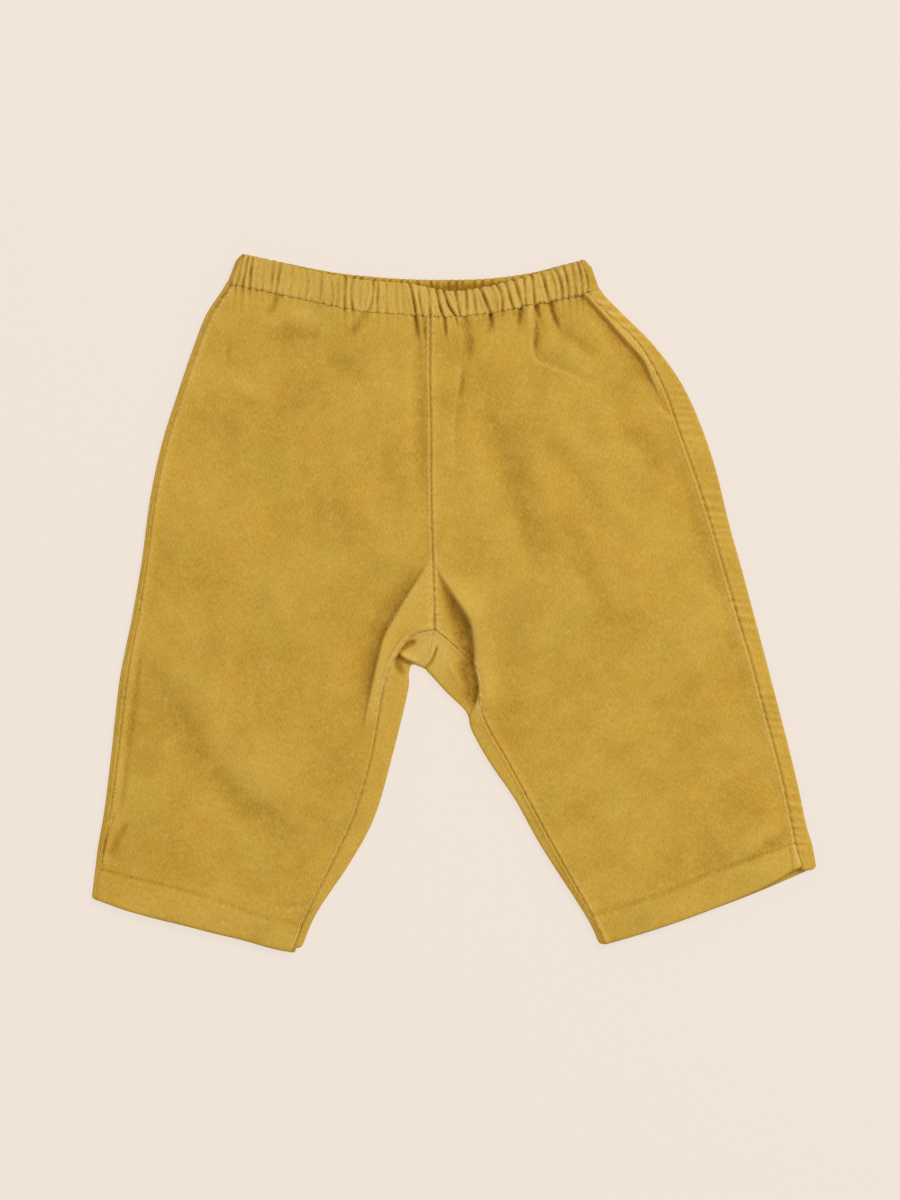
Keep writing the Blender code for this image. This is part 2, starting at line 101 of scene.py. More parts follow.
rightLegRows = [
    ((-123.0, 171.0), (-119.8, 171.0), (-13.0, 154.0), (-13.0, 154.0), 2.5),
    ((-133.5, 155.5), (-130.6, 155.0), (-13.0, 139.0), (-13.0, 139.0), 2.2),
    ((-141.0, 136.5), (-138.3, 136.0), (-13.0, 117.5), (-13.0, 117.5), 1.9),
    ((-149.0, 113.0), (-146.4, 112.5), (-12.5, 93.0), (-12.5, 93.0), 1.8),
    ((-157.5, 86.0), (-154.9, 85.5), (-12.5, 66.0), (-12.5, 66.0), 1.8),
    ((-164.0, 55.5), (-161.2, 55.5), (-12.0, 39.0), (-12.0, 39.0), 1.8),
    ((-168.5, 22.0), (-165.6, 22.0), (-11.0, 12.0), (-11.0, 8.0), 1.8),
    ((-173.5, -7.0), (-170.2, -7.5), (-10.5, -14.5), (-15.7, -35.8), 1.8),
    ((-176.5, -21.5), (-173.0, -22.0), (-21.5, -17.5), (-22.4, -33.6), 1.8),
    ((-180.0, -39.0), (-176.0, -39.0), (-30.0, -27.5), (-24.3, -38.5), 1.8),
    ((-182.0, -54.5), (-178.0, -54.5), (-37.5, -44.0), (-25.0, -48.5), 1.8),
    ((-185.0, -82.5), (-181.3, -82.5), (-44.5, -82.5), (-33.5, -83.5), 1.8),
    ((-188.5, -111.0), (-185.0, -111.0), (-54.0, -115.0), (-43.0, -116.0), 1.8),
    ((-192.0, -131.5), (-188.7, -132.0), (-65.0, -139.0), (-56.5, -141.0), 1.8),
    ((-193.5, -143.5), (-190.3, -144.0), (-78.5, -166.5), (-74.0, -167.3), 2.1),
    ((-195.5, -160.0), (-192.0, -160.5), (-87.0, -188.5), (-82.5, -187.0), 2.35),
]

leftLegRows = [
    ((78.5, 168.0), (72.5, 166.5), (-13.0, 154.0), (-13.0, 154.0), 2.5),
    ((90.5, 156.0), (84.5, 154.5), (-13.0, 139.0), (-13.0, 139.0), 2.2),
    ((107.5, 139.0), (100.5, 138.0), (-13.0, 117.5), (-13.0, 117.5), 1.9),
    ((122.5, 118.5), (113.0, 115.5), (-12.5, 93.0), (-12.5, 93.0), 1.8),
    ((133.0, 96.0), (121.5, 92.0), (-12.5, 66.0), (-12.5, 66.0), 1.8),
    ((141.5, 70.5), (130.0, 68.0), (-12.0, 39.0), (-12.0, 39.0), 1.8),
    ((148.5, 42.0), (139.0, 40.0), (-11.0, 12.0), (-11.0, 8.0), 1.8),
    ((156.0, 15.0), (147.0, 12.5), (-10.5, -14.5), (-15.7, -35.8), 1.8),
    ((163.5, -13.0), (155.0, -15.0), (1.5, -24.5), (-4.5, -48.0), 1.8),
    ((169.5, -35.5), (161.5, -37.0), (12.3, -37.0), (6.5, -59.0), 1.8),
    ((175.5, -58.5), (167.5, -60.0), (15.5, -61.0), (9.5, -69.0), 1.8),
    ((181.0, -80.0), (173.5, -82.0), (29.0, -86.0), (19.0, -86.0), 1.8),
    ((186.0, -101.0), (178.5, -103.0), (40.0, -106.5), (33.0, -106.5), 1.8),
    ((190.0, -120.0), (182.5, -122.0), (53.5, -131.5), (47.0, -131.5), 1.8),
    ((193.0, -130.0), (184.0, -130.5), (74.0, -168.4), (71.0, -169.0), 2.1),
    ((195.5, -143.5), (187.5, -144.0), (81.6, -184.2), (78.5, -184.5), 2.35),
]


def legFrom(rows, side, sidePuckers, waleLean):
    # One array for each column of a leg's table. The side is 1 for the right leg and -1 for the left one, and
    # the other two are the strength of the puckers beside the side seam and the wales' lean in degrees.
    names = ("outerEdge", "outerSeam", "innerSeam", "innerEdge")
    leg = {name: np.array([row[column] for row in rows]) for column, name in enumerate(names)}
    leg["radius"] = np.array([[row[4]] for row in rows])
    leg.update(side=side, sidePuckers=sidePuckers, waleLean=waleLean)
    return leg


rightLeg = legFrom(rightLegRows, side=1, sidePuckers=0.16, waleLean=15)
leftLeg = legFrom(leftLegRows, side=-1, sidePuckers=0.5, waleLean=-18)


def legCurve(leg, name, where):
    # a column's smooth curve; the inner ones turn a corner at the crotch, so they are two curves
    points = leg[name]
    if name.startswith("outer") or name == "radius":
        return curveThrough(points, where)
    above = curveThrough(points[:crotchRow + 1], np.minimum(where, crotchRow))
    below = curveThrough(points[crotchRow:], np.maximum(where, crotchRow) - crotchRow)
    return np.where((where < crotchRow)[..., None], above, below)


def wayOut(leg, name, where):
    # unit direction square to a curve, towards the hip: the difference over a short stretch, turned
    low, high = np.maximum(where - 0.02, 0.0), np.minimum(where + 0.02, lastRow)
    atInner = name == "innerEdge"
    if atInner:
        low = np.where(where >= crotchRow, np.maximum(low, crotchRow), low)
    along = legCurve(leg, name, high) - legCurve(leg, name, low)
    way = np.stack([along[..., 1], -along[..., 0]], -1) * leg["side"]
    way /= np.linalg.norm(way, axis=-1, keepdims=True)
    if atInner:
        towards = smoothStep(crotchRow + 1 - where)[..., None] * (where >= crotchRow)[..., None]
        way = way * (1 - towards) - crotchWay * towards
        way /= np.linalg.norm(way, axis=-1, keepdims=True)
    return way


def rowPlaces(leg, above, below):
    # where the rows of a mesh lie, in sections: even lengths down the leg, closer at the waist and crotch
    fine = np.linspace(0, lastRow, 3001)
    middle = (legCurve(leg, "innerSeam", fine) + legCurve(leg, "outerSeam", fine)) / 2
    length = distanceAlong(middle)
    fromCrotch = length - np.interp(crotchRow, fine, length)
    density = 1 + 0.9 * bell(length, 22) + 0.5 * bell(fromCrotch, 35)
    count = np.concatenate([[0], np.cumsum(np.diff(length) * (density[1:] + density[:-1]) / 2)])
    crotchCount = np.interp(crotchRow, fine, count)
    counts = np.concatenate([
        np.linspace(0, crotchCount, above + 1)[:-1],
        np.linspace(crotchCount, count[-1], below + 1),
    ])
    return np.interp(counts, count, fine)


# The waist casing. Its stations run from the right side seam to the left one, and each has the top of the
# front, the top of the back and the bottom of both.

casing = {
    "stations": [
        ((-115.9, 188.8), (-115.9, 188.8), (-122.4, 171.5)),
        ((-95.5, 183.8), (-95.5, 184.2), (-100.5, 167.3)),
        ((-67.5, 177.3), (-67.5, 178.6), (-73.5, 161.3)),
        ((-46.0, 173.8), (-46.0, 176.0), (-50.0, 156.8)),
        ((-24.0, 172.0), (-24.0, 174.5), (-28.0, 155.0)),
        ((-2.5, 168.0), (-2.5, 174.2), (-4.0, 153.8)),
        ((18.0, 170.5), (18.0, 174.8), (19.0, 155.6)),
        ((41.0, 176.3), (41.0, 177.8), (43.0, 160.4)),
        ((58.5, 181.6), (58.5, 182.2), (62.5, 164.2)),
        ((72.5, 185.6), (72.5, 185.6), (78.5, 168.5)),
    ],
    "length": 195.0,
    "seamInset": (3.0, 4.5),  # from the outline to the side seam on top, right and left
    "overlap": 0.9,  # how far the front's ends reach past the side seams
    "rise": 0.35,  # of the cloth on top over its plain height
    "wall": 2.4,  # two layers of cloth with the elastic between them
    "radius": 2.6,  # of the fold at each end
    "lift": 1.0,  # how far the front's middle stands off the back
    "depth": 18.5,  # from the rolled top edge to the stitching
    "topDrop": 0.9,  # how far the back's top edge lies below its line near both ends
    "cornerDrop": (1.4, 2.6),  # how much further it rounds down at each end, right and left
}

# Every main gather of the front: x at the top, middle and bottom of the casing, its depth at the top and at
# the bottom, and its width.
frontGathers = [
    (-113.6, -115.4, -117.6, 0.3, 0.4, 0.6),
    (-110.4, -112.2, -113.9, 0.4, 0.5, 0.6),
    (-108.5, -109.6, -110.2, 0.5, 0.6, 0.7),
    (-97.4, -98.0, -98.8, 0.4, 0.3, 0.8),
    (-93.4, -94.6, -96.1, 0.5, 0.5, 0.7),
    (-79.9, -78.8, -81.0, 0.2, 0.3, 1.3),
    (-71.3, -71.8, -72.9, 0.4, 0.3, 1.0),
    (-67.6, -65.4, -65.9, 0.1, 0.4, 1.0),
    (-58.3, -58.9, -58.9, 0.5, 0.5, 0.7),
    (-54.5, -55.6, -54.5, 0.3, 0.5, 0.7),
    (-43.5, -43.7, -46.4, 0.5, 0.4, 0.7),
    (-41.3, -41.4, -41.6, 0.4, 0.5, 0.6),
    (-36.7, -36.6, -36.4, 0.2, 0.2, 0.8),
    (-31.3, -31.2, -31.0, 0.2, 0.2, 0.8),
    (-23.8, -21.8, -20.5, 0.9, 1.1, 0.8),
    (-19.2, -18.6, -17.0, 0.2, 0.7, 0.6),
    (-14.0, -13.4, -13.0, 0.4, 0.5, 0.5),
    (-9.5, -8.1, -5.9, 1.0, 1.0, 0.8),
    (-5.4, -3.2, 0.8, 0.9, 1.2, 0.8),
    (0.5, 1.8, 3.2, 0.6, 0.7, 0.6),
    (6.5, 6.7, 7.0, 0.7, 0.6, 0.6),
    (9.7, 10.8, 11.9, 0.4, 0.5, 0.7),
    (14.0, 16.7, 19.4, 1.0, 1.1, 0.8),
    (23.0, 25.7, 25.9, 0.6, 0.6, 0.7),
    (27.8, 29.7, 31.9, 0.8, 0.8, 0.6),
    (32.4, 34.6, 36.7, 0.8, 0.7, 0.6),
    (37.5, 38.0, 38.3, 0.5, 0.5, 0.6),
    (41.9, 42.7, 43.2, 0.6, 0.7, 0.6),
    (47.0, 49.1, 51.3, 0.8, 0.8, 0.8),
    (53.9, 57.2, 58.1, 0.6, 0.6, 0.7),
    (58.6, 60.8, 61.6, 0.5, 0.6, 0.6),
    (63.2, 64.6, 65.6, 0.3, 0.5, 0.6),
    (66.4, 68.3, 69.1, 0.5, 0.5, 0.6),
    (69.1, 71.4, 72.6, 0.5, 0.4, 0.6),
]


def withSmallGathers(table, widest=6.5):
    # between two main gathers that are far apart come shallower ones, by turns nearer to either of them
    rows = [table[0]]
    for number, (before, after) in enumerate(zip(table, table[1:])):
        before, after = np.array(before), np.array(after)
        count = int((after[0] - before[0]) / widest)
        for small in range(count):
            share = (small + 1) / (count + 1) + 0.1 * (-1) ** number
            row = before + (after - before) * share
            row[3:5] *= 0.2 + 0.15 * np.sin(2.1 * number + 1.3 * small)
            row[5] *= 1.5
            rows.append(tuple(row))
        rows.append(tuple(after))
    return rows


allGathers = withSmallGathers(frontGathers)


def backGatherTable(count=38):
    # the gathers of the casing's back, at uneven spaces worked out from sines, in the same columns
    number = np.arange(count)
    place = -114.0 + 5.0 * number + 1.1 * np.sin(2.3 * number) + 0.8 * np.sin(0.9 * number + 1)
    lean = 1.6 * np.sin(0.7 * number + 0.4)
    depth = 0.7 + 0.3 * np.sin(1.9 * number + 2)
    width = 0.7 + 0.15 * np.sin(3.1 * number)
    return np.stack([place, place + lean * 0.6, place + lean, depth, depth, width], -1)


def gatherRise(table, x, down, crown=0.6):
    # Each gather's place is a parabola through its three x values, and its depth swells and shrinks along it.
    # The cloth stands up between two of them by the crown. At each it drops in a cusp, by its depth times exp
    # of minus the distance over its width, steeper on one side than the other, with a narrow ridge beside it.
    table = np.asarray(table, float)
    step = [9, 9, 9, 0, 0, 0]
    table = np.concatenate([table[:1] - step, table, table[-1:] + step])
    t = np.clip(down, 0.0, 1.0)[..., None]
    top, middle, bottom = table[:, 0], table[:, 1], table[:, 2]
    place = 2 * top * (t - 0.5) * (t - 1) - 4 * middle * t * (t - 1) + 2 * bottom * t * (t - 0.5)
    past = np.maximum(down - 1.0, 0.0)[..., None]
    place = place + (bottom - middle) * past * 1.2
    place = np.sort(place, axis=-1)
    depth = (table[:, 3] * (1 - t) + table[:, 4] * t) * (1 + 0.3 * np.sin(7 * t + 1.7 * top))
    lean = 0.45 * np.sin(2.7 * top)
    right = np.clip((place < x[..., None]).sum(-1), 1, len(table) - 1)[..., None]
    placeLeft = np.take_along_axis(place, right - 1, -1)[..., 0]
    placeRight = np.take_along_axis(place, right, -1)[..., 0]
    depthLeft = np.take_along_axis(depth, right - 1, -1)[..., 0]
    depthRight = np.take_along_axis(depth, right, -1)[..., 0]
    widthLeft = (0.8 * table[:, 5] * (1 + lean))[right - 1][..., 0]
    widthRight = (0.8 * table[:, 5] * (1 - lean))[right][..., 0]
    between = np.maximum(placeRight - placeLeft, 0.5)
    fromMiddle = 2 * np.clip((x - placeLeft) / between, 0.0, 1.0) - 1
    drop = np.clip(1.8 * np.where(fromMiddle < 0, depthLeft, depthRight), 0.0, 1.0)
    rise = crown * (1 - drop * np.abs(fromMiddle) ** (2.0 + between / 3.0))
    fromLeft, fromRight = np.abs(x - placeLeft), np.abs(placeRight - x)
    rise = rise - depthLeft * (1.3 * np.exp(-fromLeft / widthLeft) - 0.5 * bell(fromLeft - 1.7, 0.8))
    rise = rise - depthRight * (1.3 * np.exp(-fromRight / widthRight) - 0.5 * bell(fromRight - 1.7, 0.8))
    rise = rise + 0.18 * puckerWave(x + 5 * down, 2.9, 1.1) * np.sin(0.4 * x + 9 * down)
    return rise + 0.12 * puckerWave(x - 3 * down, 1.9, 0.4) * np.sin(0.23 * x - 5 * down + 1)


def casingCurve(column, share):
    # a column of the casing's table as a smooth curve, at shares of the way from right to left
    points = np.array([row[column] for row in casing["stations"]])
    return curveThrough(points, share * (len(points) - 1))


casingShares = np.linspace(0, 1, 400)
casingBottom = casingCurve(2, casingShares)


def baseWander(x):
    # how far the gathers pull the casing's stitching up or down from its smooth line
    return 0.4 * puckerWave(x, 7.3, 1.4) + 0.2 * puckerWave(x, 3.7, 2.2)


def casingBottomHeight(x):
    # how far up the casing's stitching is at x
    return np.interp(x, casingBottom[:, 0], casingBottom[:, 1]) + baseWander(x)


# The cloth of the leg panels.

panel = {
    "loft": 1.0,  # how far the middle of the front stands above its seams
    "centreLoft": 1.4,  # how far the centre front seam stands above the side seams
    "hemBow": 3.0,  # how far the middle of a hem hangs below its ends
    "hemDraw": 1.8,  # how far the front hem is drawn up over the back's
    "hemDepth": 18.0,
    "hemStep": 0.4,  # the turned-up hem's extra height
    "corner": 2.0,  # the radius of a hem's corners
    "seamRise": 0.5,  # the seam allowances under the cloth beside a seam
    "seamDepth": 0.5,  # of the groove at a seam
    "seamWidth": 0.5,  # half the groove's width
    "shoulder": 0.5,  # the ridge beside the groove
    "foldStrength": 1.45,  # of every fold in the table
    "rowBend": 10.0,  # how far the right back's rows rise beside the crotch
    "bendShare": 0.2,  # the share of the way across at which they are highest
    "tuck": (0.8, 2.2, 0.3),  # how far the corner beside the casing's end is moved across, up and down
    "cloth": 1.0,  # the shell's thickness
}


# Painted shade and painted highlight: how far each kind of relief lightens the cloth's colour where it rises,
# and darkens it where it sinks. The unit is a millimetre of fold.
shading = {
    "restless": 1.3,  # the slow waves of cloth
    "mostCrest": 1.6,  # the most that folds and waves can lighten
    "detail": 1.9,  # gathers, puckers and grooves of the fronts
    "backFolds": 1.3,
    "backPuckers": 2.2,
    "back": 0.8,  # painted highlight on the backs' turned-up parts, all over
    "gathers": 2.6,  # of the casing
    "casing": 0.3,  # the casing's front, all over
    "paintedWaistShade": 9.0,  # painted shade on the inside of the waist, under the front's top edge
}

# The folds. A trough or crest is a bell across its line, and a lap a step that is high on the left of its
# line. Each has its rise, its reach to the right and to the left of the line, the share of its length over
# which it fades in and out, and its points.

frontFolds = [
    ("trough", -1.4, 1.2, 1.4, 0.0, 0.5, [(-21.8, 156), (-20.5, 150), (-20, 144), (-18.9, 139)]),
    ("trough", -1.3, 0.8, 0.9, 0.0, 0.5, [(-15.4, 156), (-15.6, 150), (-15.7, 144), (-15.3, 138)]),
    ("trough", -0.9, 5.5, 4.0, 0.1, 0.4, [(-19.5, 146), (-18.5, 120), (-17.5, 72), (-15, 24)]),
    ("crest", 0.5, 5.0, 4.0, 0.1, 0.4, [(-25, 150), (-25, 120), (-24, 72), (-22, 30)]),
    ("trough", -1.3, 0.8, 0.8, 0.0, 0.5, [(-4.5, 155), (-4.6, 149), (-4.7, 141)]),
    ("lap", 0.9, 4.0, 5.0, 0.5, 0.0,
     [(0, 59), (-0.5, 89), (1.6, 107.5), (3.8, 120), (4.3, 128), (4.9, 137), (5.2, 146), (5.4, 155)]),
    ("trough", -0.9, 1.2, 0.8, 0.4, 0.5, [(1.6, 109), (3.4, 116), (4.0, 122), (4.6, 130)]),
    ("trough", -1.5, 1.0, 0.8, 0.1, 0.6, [(5.4, 156), (5.0, 150), (4.8, 143)]),
    ("trough", -0.7, 2.4, 1.8, 0.4, 0.4, [(9.0, 146), (8.4, 138), (7.8, 130)]),
    ("trough", -0.8, 2.0, 3.0, 0.2, 0.4, [(6.5, 154), (7.6, 142), (8.1, 132)]),
    ("lap", 2.4, 2.0, 2.5, 0.6, 0.0, [(17.7, 143), (18.8, 149), (19.4, 152), (18.9, 157)]),
    ("trough", -2.2, 0.9, 1.1, 0.0, 0.6, [(19.2, 160), (18.9, 155), (18.2, 149), (16.9, 142)]),
    ("trough", -2.6, 1.0, 1.2, 0.0, 0.7, [(35.6, 161), (35.0, 153), (34.2, 145)]),
    ("crest", 1.0, 1.8, 1.8, 0.0, 0.6, [(39.5, 160), (39.2, 152), (38.4, 143)]),
    ("trough", -2.2, 1.0, 1.3, 0.0, 0.4, [(44.0, 160), (44.6, 152), (43.4, 142), (43.2, 134)]),
    ("trough", -2.2, 0.8, 1.0, 0.0, 0.5, [(51.8, 163), (53.2, 156), (55.4, 150), (57, 145)]),
    ("lap", 1.7, 6.0, 4.0, 0.4, 0.0,
     [(76, 116), (61, 124), (50, 128), (43.7, 132), (43.2, 141), (46, 150), (42.7, 161)]),
    ("crest", 0.6, 6.0, 6.0, 0.0, 0.5, [(53, 156), (52, 147), (55, 138), (68, 130), (86, 120)]),
    ("trough", -1.0, 4.0, 4.0, 0.0, 0.4, [(51.3, 163), (55.6, 150), (59.4, 144.5), (69, 138.5), (80, 130)]),
    ("trough", -0.9, 8.0, 7.0, 0.3, 0.4, [(14.6, 119), (22.7, 92), (32.4, 72.6), (37.8, 50.5), (52, 5)]),
    ("crest", 0.5, 9.0, 9.0, 0.4, 0.4, [(5, 118), (9, 85), (20, 55), (34, 15), (44, -30)]),
    ("trough", -0.8, 7.0, 7.0, 0.3, 0.5, [(38.9, 100), (63.7, 74), (70.2, 64.5), (74.5, 54), (90, 25)]),
    ("trough", -0.7, 5.0, 6.0, 0.3, 0.5, [(85.3, 108.3), (91.3, 92), (100.4, 86), (120, 55)]),
    ("trough", -0.5, 6.0, 6.0, 0.3, 0.5, [(58, 45), (66, 26), (80, 0), (88, -25)]),
    ("lap", 2.4, 6.0, 5.0, 0.0, 0.3,
     [(70, 166), (80.2, 154.7), (91, 142.5), (101.8, 130.4), (106, 121), (111.8, 109)]),
    ("lap", 1.6, 5.0, 5.0, 0.2, 0.4, [(118.5, 98), (113, 103.5), (106.5, 109.5)]),
    ("trough", -0.4, 3.5, 3.0, 0.2, 0.3, [(112, 96), (128, 52), (141, 8), (153, -38), (162, -72)]),
    ("crest", 1.3, 24.0, 24.0, 0.3, 0.3, [(-12, 30), (-14, 6), (-10, -18), (0, -46)]),
    ("lap", 6.0, 9.0, 8.0, 0.4, 0.1,
     [(-10, 22), (-7.6, 15), (-4.3, 9.5), (1.1, 1.4), (5.4, -5.1), (8.2, -10.5), (9.5, -17), (10.3, -24.6),
      (10.8, -33.2), (12.6, -41), (13.2, -46.5), (12.4, -52), (9.7, -58.5)]),
    ("trough", -1.3, 4.5, 6.0, 0.4, 0.2,
     [(-8, 12), (-3.5, 3), (0.5, -5), (4, -14), (6.5, -24), (8, -34), (9.5, -44)]),
    ("trough", -1.0, 0.9, 0.9, 0.2, 0.2, [(-9.5, -6), (-11.2, -10), (-11, -14), (-9.3, -17.5)]),
    ("crest", 0.5, 1.2, 1.2, 0.2, 0.2, [(-12.3, -6), (-13.4, -10), (-13.2, -14)]),
    ("crest", 2.0, 1.3, 1.5, 0.2, 0.3,
     [(-12, -13.5), (-20, -14.8), (-26.4, -18.8), (-31.6, -26), (-34.4, -32), (-37.5, -39), (-40, -48)]),
    ("lap", 4.2, 9.0, 7.0, 0.25, 0.4,
     [(-13, 24), (-18.4, 14.9), (-23.8, 6.8), (-29.2, -1.9), (-33.2, -8.7), (-36.7, -15.4), (-39.4, -23),
      (-41.3, -31), (-43.2, -39.2), (-46, -52), (-50, -72)]),
    ("trough", -0.8, 6.0, 6.0, 0.3, 0.3, [(-99, 144), (-85, 143.5), (-70.5, 145)]),
    ("trough", -0.7, 5.0, 5.0, 0.2, 0.4, [(-70, 134), (-62, 129), (-53, 124), (-44, 115)]),
    ("trough", -1.2, 1.6, 2.4, 0.0, 0.5, [(-49, 155), (-53, 149), (-60, 141)]),
    ("trough", -1.0, 1.4, 2.0, 0.0, 0.5, [(-95, 165), (-98.5, 159), (-102, 153)]),
    ("trough", -0.6, 1.6, 1.6, 0.3, 0.4, [(-121.5, 138), (-122.2, 132), (-122, 126)]),
    ("trough", -0.4, 6.0, 6.0, 0.3, 0.4, [(-122, 112), (-123, 84), (-122, 55)]),
    ("trough", -0.4, 5.0, 5.0, 0.3, 0.5, [(-86, 112), (-92, 105), (-98, 98)]),
    ("crest", 0.4, 3.0, 3.0, 0.3, 0.5, [(-137.5, 115), (-139, 107), (-141, 97)]),
    ("trough", -1.1, 9.0, 8.0, 0.3, 0.3,
     [(-168, -20), (-161, -40), (-145, -67), (-131, -89), (-114.5, -106), (-98, -115.5), (-76, -138)]),
    ("crest", 0.6, 9.0, 9.0, 0.3, 0.4, [(-152, -28), (-131, -58), (-112, -84), (-86, -104), (-66, -124)]),
    ("trough", -0.7, 1.6, 2.0, 0.3, 0.2,
     [(-168, -4), (-170.6, -33), (-174.4, -64.5), (-176.6, -83), (-179.3, -104), (-184, -119)]),
    ("trough", -1.0, 1.3, 1.6, 0.2, 0.2, [(-176.6, -118.5), (-181.5, -128), (-186.8, -138)]),
    ("trough", -1.2, 0.7, 0.9, 0.1, 0.2, [(-183.5, -114), (-187, -126), (-190.4, -139)]),
    ("trough", -1.0, 4.0, 3.0, 0.4, 0.1, [(146, -145), (158, -139), (166, -134), (181, -123.5)]),
    ("crest", 0.7, 4.0, 5.0, 0.4, 0.1, [(150, -135), (162, -129), (172, -121)]),
    ("trough", -0.6, 5.0, 4.0, 0.3, 0.3, [(128, -143), (139, -141), (150, -136)]),
    ("trough", -0.8, 1.5, 1.5, 0.3, 0.2, [(-98, -162.5), (-88, -163.5), (-79, -161.5)]),
    ("trough", -1.2, 0.8, 0.8, 0.2, 0.0, [(180.5, -131), (181.5, -138), (182.8, -146)]),
    ("trough", -0.8, 0.6, 0.6, 0.2, 0.1, [(186.8, -131), (187.6, -136), (188.2, -142)]),
    ("trough", -0.5, 2.0, 2.0, 0.3, 0.3, [(165, -128), (172, -131), (178, -130)]),
]

# Creases of the back panels where they are turned up at the crotch: the hollow under the inside leg seam's
# tightest bend, the edge below it, the leg's own tuck, and the centre back seam.
crotchCreases = [
    ("trough", -2.6, 1.4, 1.2, 0.0, 0.3, [(-30, -27), (-27.6, -24), (-24, -22), (-20, -21)]),
    ("lap", 3.4, 3.0, 2.2, 0.0, 0.3, [(-30.2, -27.4), (-27.2, -29.6), (-24, -31.4), (-20, -32.6)]),
    ("trough", -2.4, 1.8, 1.8, 0.1, 0.5, [(-29.9, -28.6), (-30.4, -33), (-29.4, -36.5), (-26.5, -40)]),
    ("trough", -1.6, 0.6, 0.6, 0.1, 0.1, [(-9.2, -24), (-11, -29), (-13.2, -33), (-16, -35.8)]),
    ("crest", 0.5, 1.2, 1.2, 0.1, 0.1, [(-11.2, -24), (-13, -29), (-15.2, -33)]),
    ("trough", -1.5, 4.0, 5.0, 0.3, 0.2, [(2, -30), (8, -38), (11, -46), (10, -56)]),
    ("crest", 0.7, 1.5, 1.5, 0.2, 0.3, [(-3, -32), (0, -38), (4, -45)]),
]

# Painted highlight: pale streaks on the fronts, lighter as on lit crests, with the wales pale in them. They
# have no height.
paintedHighlightStreaks = [
    ("crest", 1.1, 3.0, 4.0, 0.4, 0.4, [(-97, 157), (-83, 154.5), (-67, 152.5)]),
    ("crest", 1.1, 4.5, 4.0, 0.4, 0.4, [(-124, 122), (-112, 117.5), (-100, 113)]),
    ("crest", 1.1, 3.5, 3.5, 0.4, 0.4, [(30, 111), (45, 111.5), (66, 107)]),
    ("crest", 1.0, 3.0, 3.0, 0.4, 0.4, [(84, 127), (89, 123), (94, 118)]),
]

# The hidden side's folds are all hollows, because its flat parts lie on the floor.
underFolds = [
    ("trough", 0.7, 6.0, 4.0, 0.1, 0.4, [(-40, 150), (-34, 128), (-36, 104), (-44, 76)]),
    ("trough", 0.8, 4.0, 6.0, 0.1, 0.5, [(18, 152), (14, 130), (22, 108), (38, 84)]),
    ("trough", 0.6, 5.0, 5.0, 0.1, 0.5, [(-88, 160), (-92, 142), (-84, 124)]),
    ("trough", 0.6, 4.0, 5.0, 0.1, 0.5, [(52, 158), (58, 142), (74, 126)]),
    ("trough", 0.9, 7.0, 6.0, 0.3, 0.3, [(-20, 30), (-34, 6), (-48, -20), (-58, -52), (-62, -84)]),
    ("trough", 0.9, 6.0, 8.0, 0.3, 0.3, [(-4, 26), (12, 2), (24, -24), (36, -54), (56, -88)]),
    ("trough", 0.6, 8.0, 8.0, 0.4, 0.4, [(-120, 96), (-108, 60), (-112, 24)]),
    ("trough", 0.7, 8.0, 7.0, 0.4, 0.4, [(96, 74), (88, 40), (96, 6)]),
    ("trough", 0.7, 9.0, 8.0, 0.3, 0.4, [(-158, -44), (-140, -74), (-118, -100), (-92, -120)]),
    ("trough", 0.7, 8.0, 8.0, 0.3, 0.4, [(140, -30), (124, -64), (112, -100), (116, -132)]),
    ("trough", 0.5, 5.0, 5.0, 0.3, 0.3, [(-68, 70), (-60, 48), (-66, 22)]),
    ("trough", 0.5, 5.0, 6.0, 0.3, 0.3, [(50, 60), (60, 34), (58, 8)]),
]

lapEdge = 0.35  # half the width of a lap's step


def foldRise(fold, x, y):
    # Each point's nearest place on the fold's smooth line gives its distance, plus to the left, and the share
    # of the line run. A bell or a step of that distance, times the fading at both ends, is the height.
    form, rise, reachRight, reachLeft, fadeIn, fadeOut, points = fold
    total = np.zeros(x.shape)
    line = curveThrough(points, np.linspace(0, len(points) - 1, 5 * len(points)))
    margin = 3.2 * max(reachRight, reachLeft)
    low, high = line.min(0) - margin, line.max(0) + margin
    near = (x > low[0]) & (x < high[0]) & (y > low[1]) & (y < high[1])
    if not near.any():
        return total
    spot = np.stack([x[near], y[near]], -1)[:, None, :]
    start, step = line[:-1], np.diff(line, axis=0)
    lengths = np.linalg.norm(step, axis=-1)
    along = step / lengths[:, None]
    run = np.clip(((spot - start) * along).sum(-1), 0.0, lengths)
    gap = spot - (start + along * run[..., None])
    distance = np.linalg.norm(gap, axis=-1)
    best = distance.argmin(axis=1)[:, None]
    turned = along[:, 0] * gap[..., 1] - along[:, 1] * gap[..., 0]
    side = np.sign(np.take_along_axis(turned, best, 1)[:, 0])
    away = np.take_along_axis(distance, best, 1)[:, 0]
    before = np.concatenate([[0.0], np.cumsum(lengths)[:-1]])
    share = np.take_along_axis(before + run, best, 1)[:, 0] / lengths.sum()
    fading = smoothStep(share, -0.05, fadeIn) if fadeIn else 1.0
    fading = fading * (smoothStep(1 - share, -0.05, fadeOut) if fadeOut else 1.0)
    reach = np.where(side > 0, reachLeft, reachRight)
    across = bell(away, reach)
    if form == "lap":
        across = across * np.tanh(side * away / lapEdge) / 2
    total[near] = rise * panel["foldStrength"] * fading * across
    return total


def foldField(folds, x, y):
    # the sum of every fold's height
    return sum(foldRise(fold, x, y) for fold in folds)


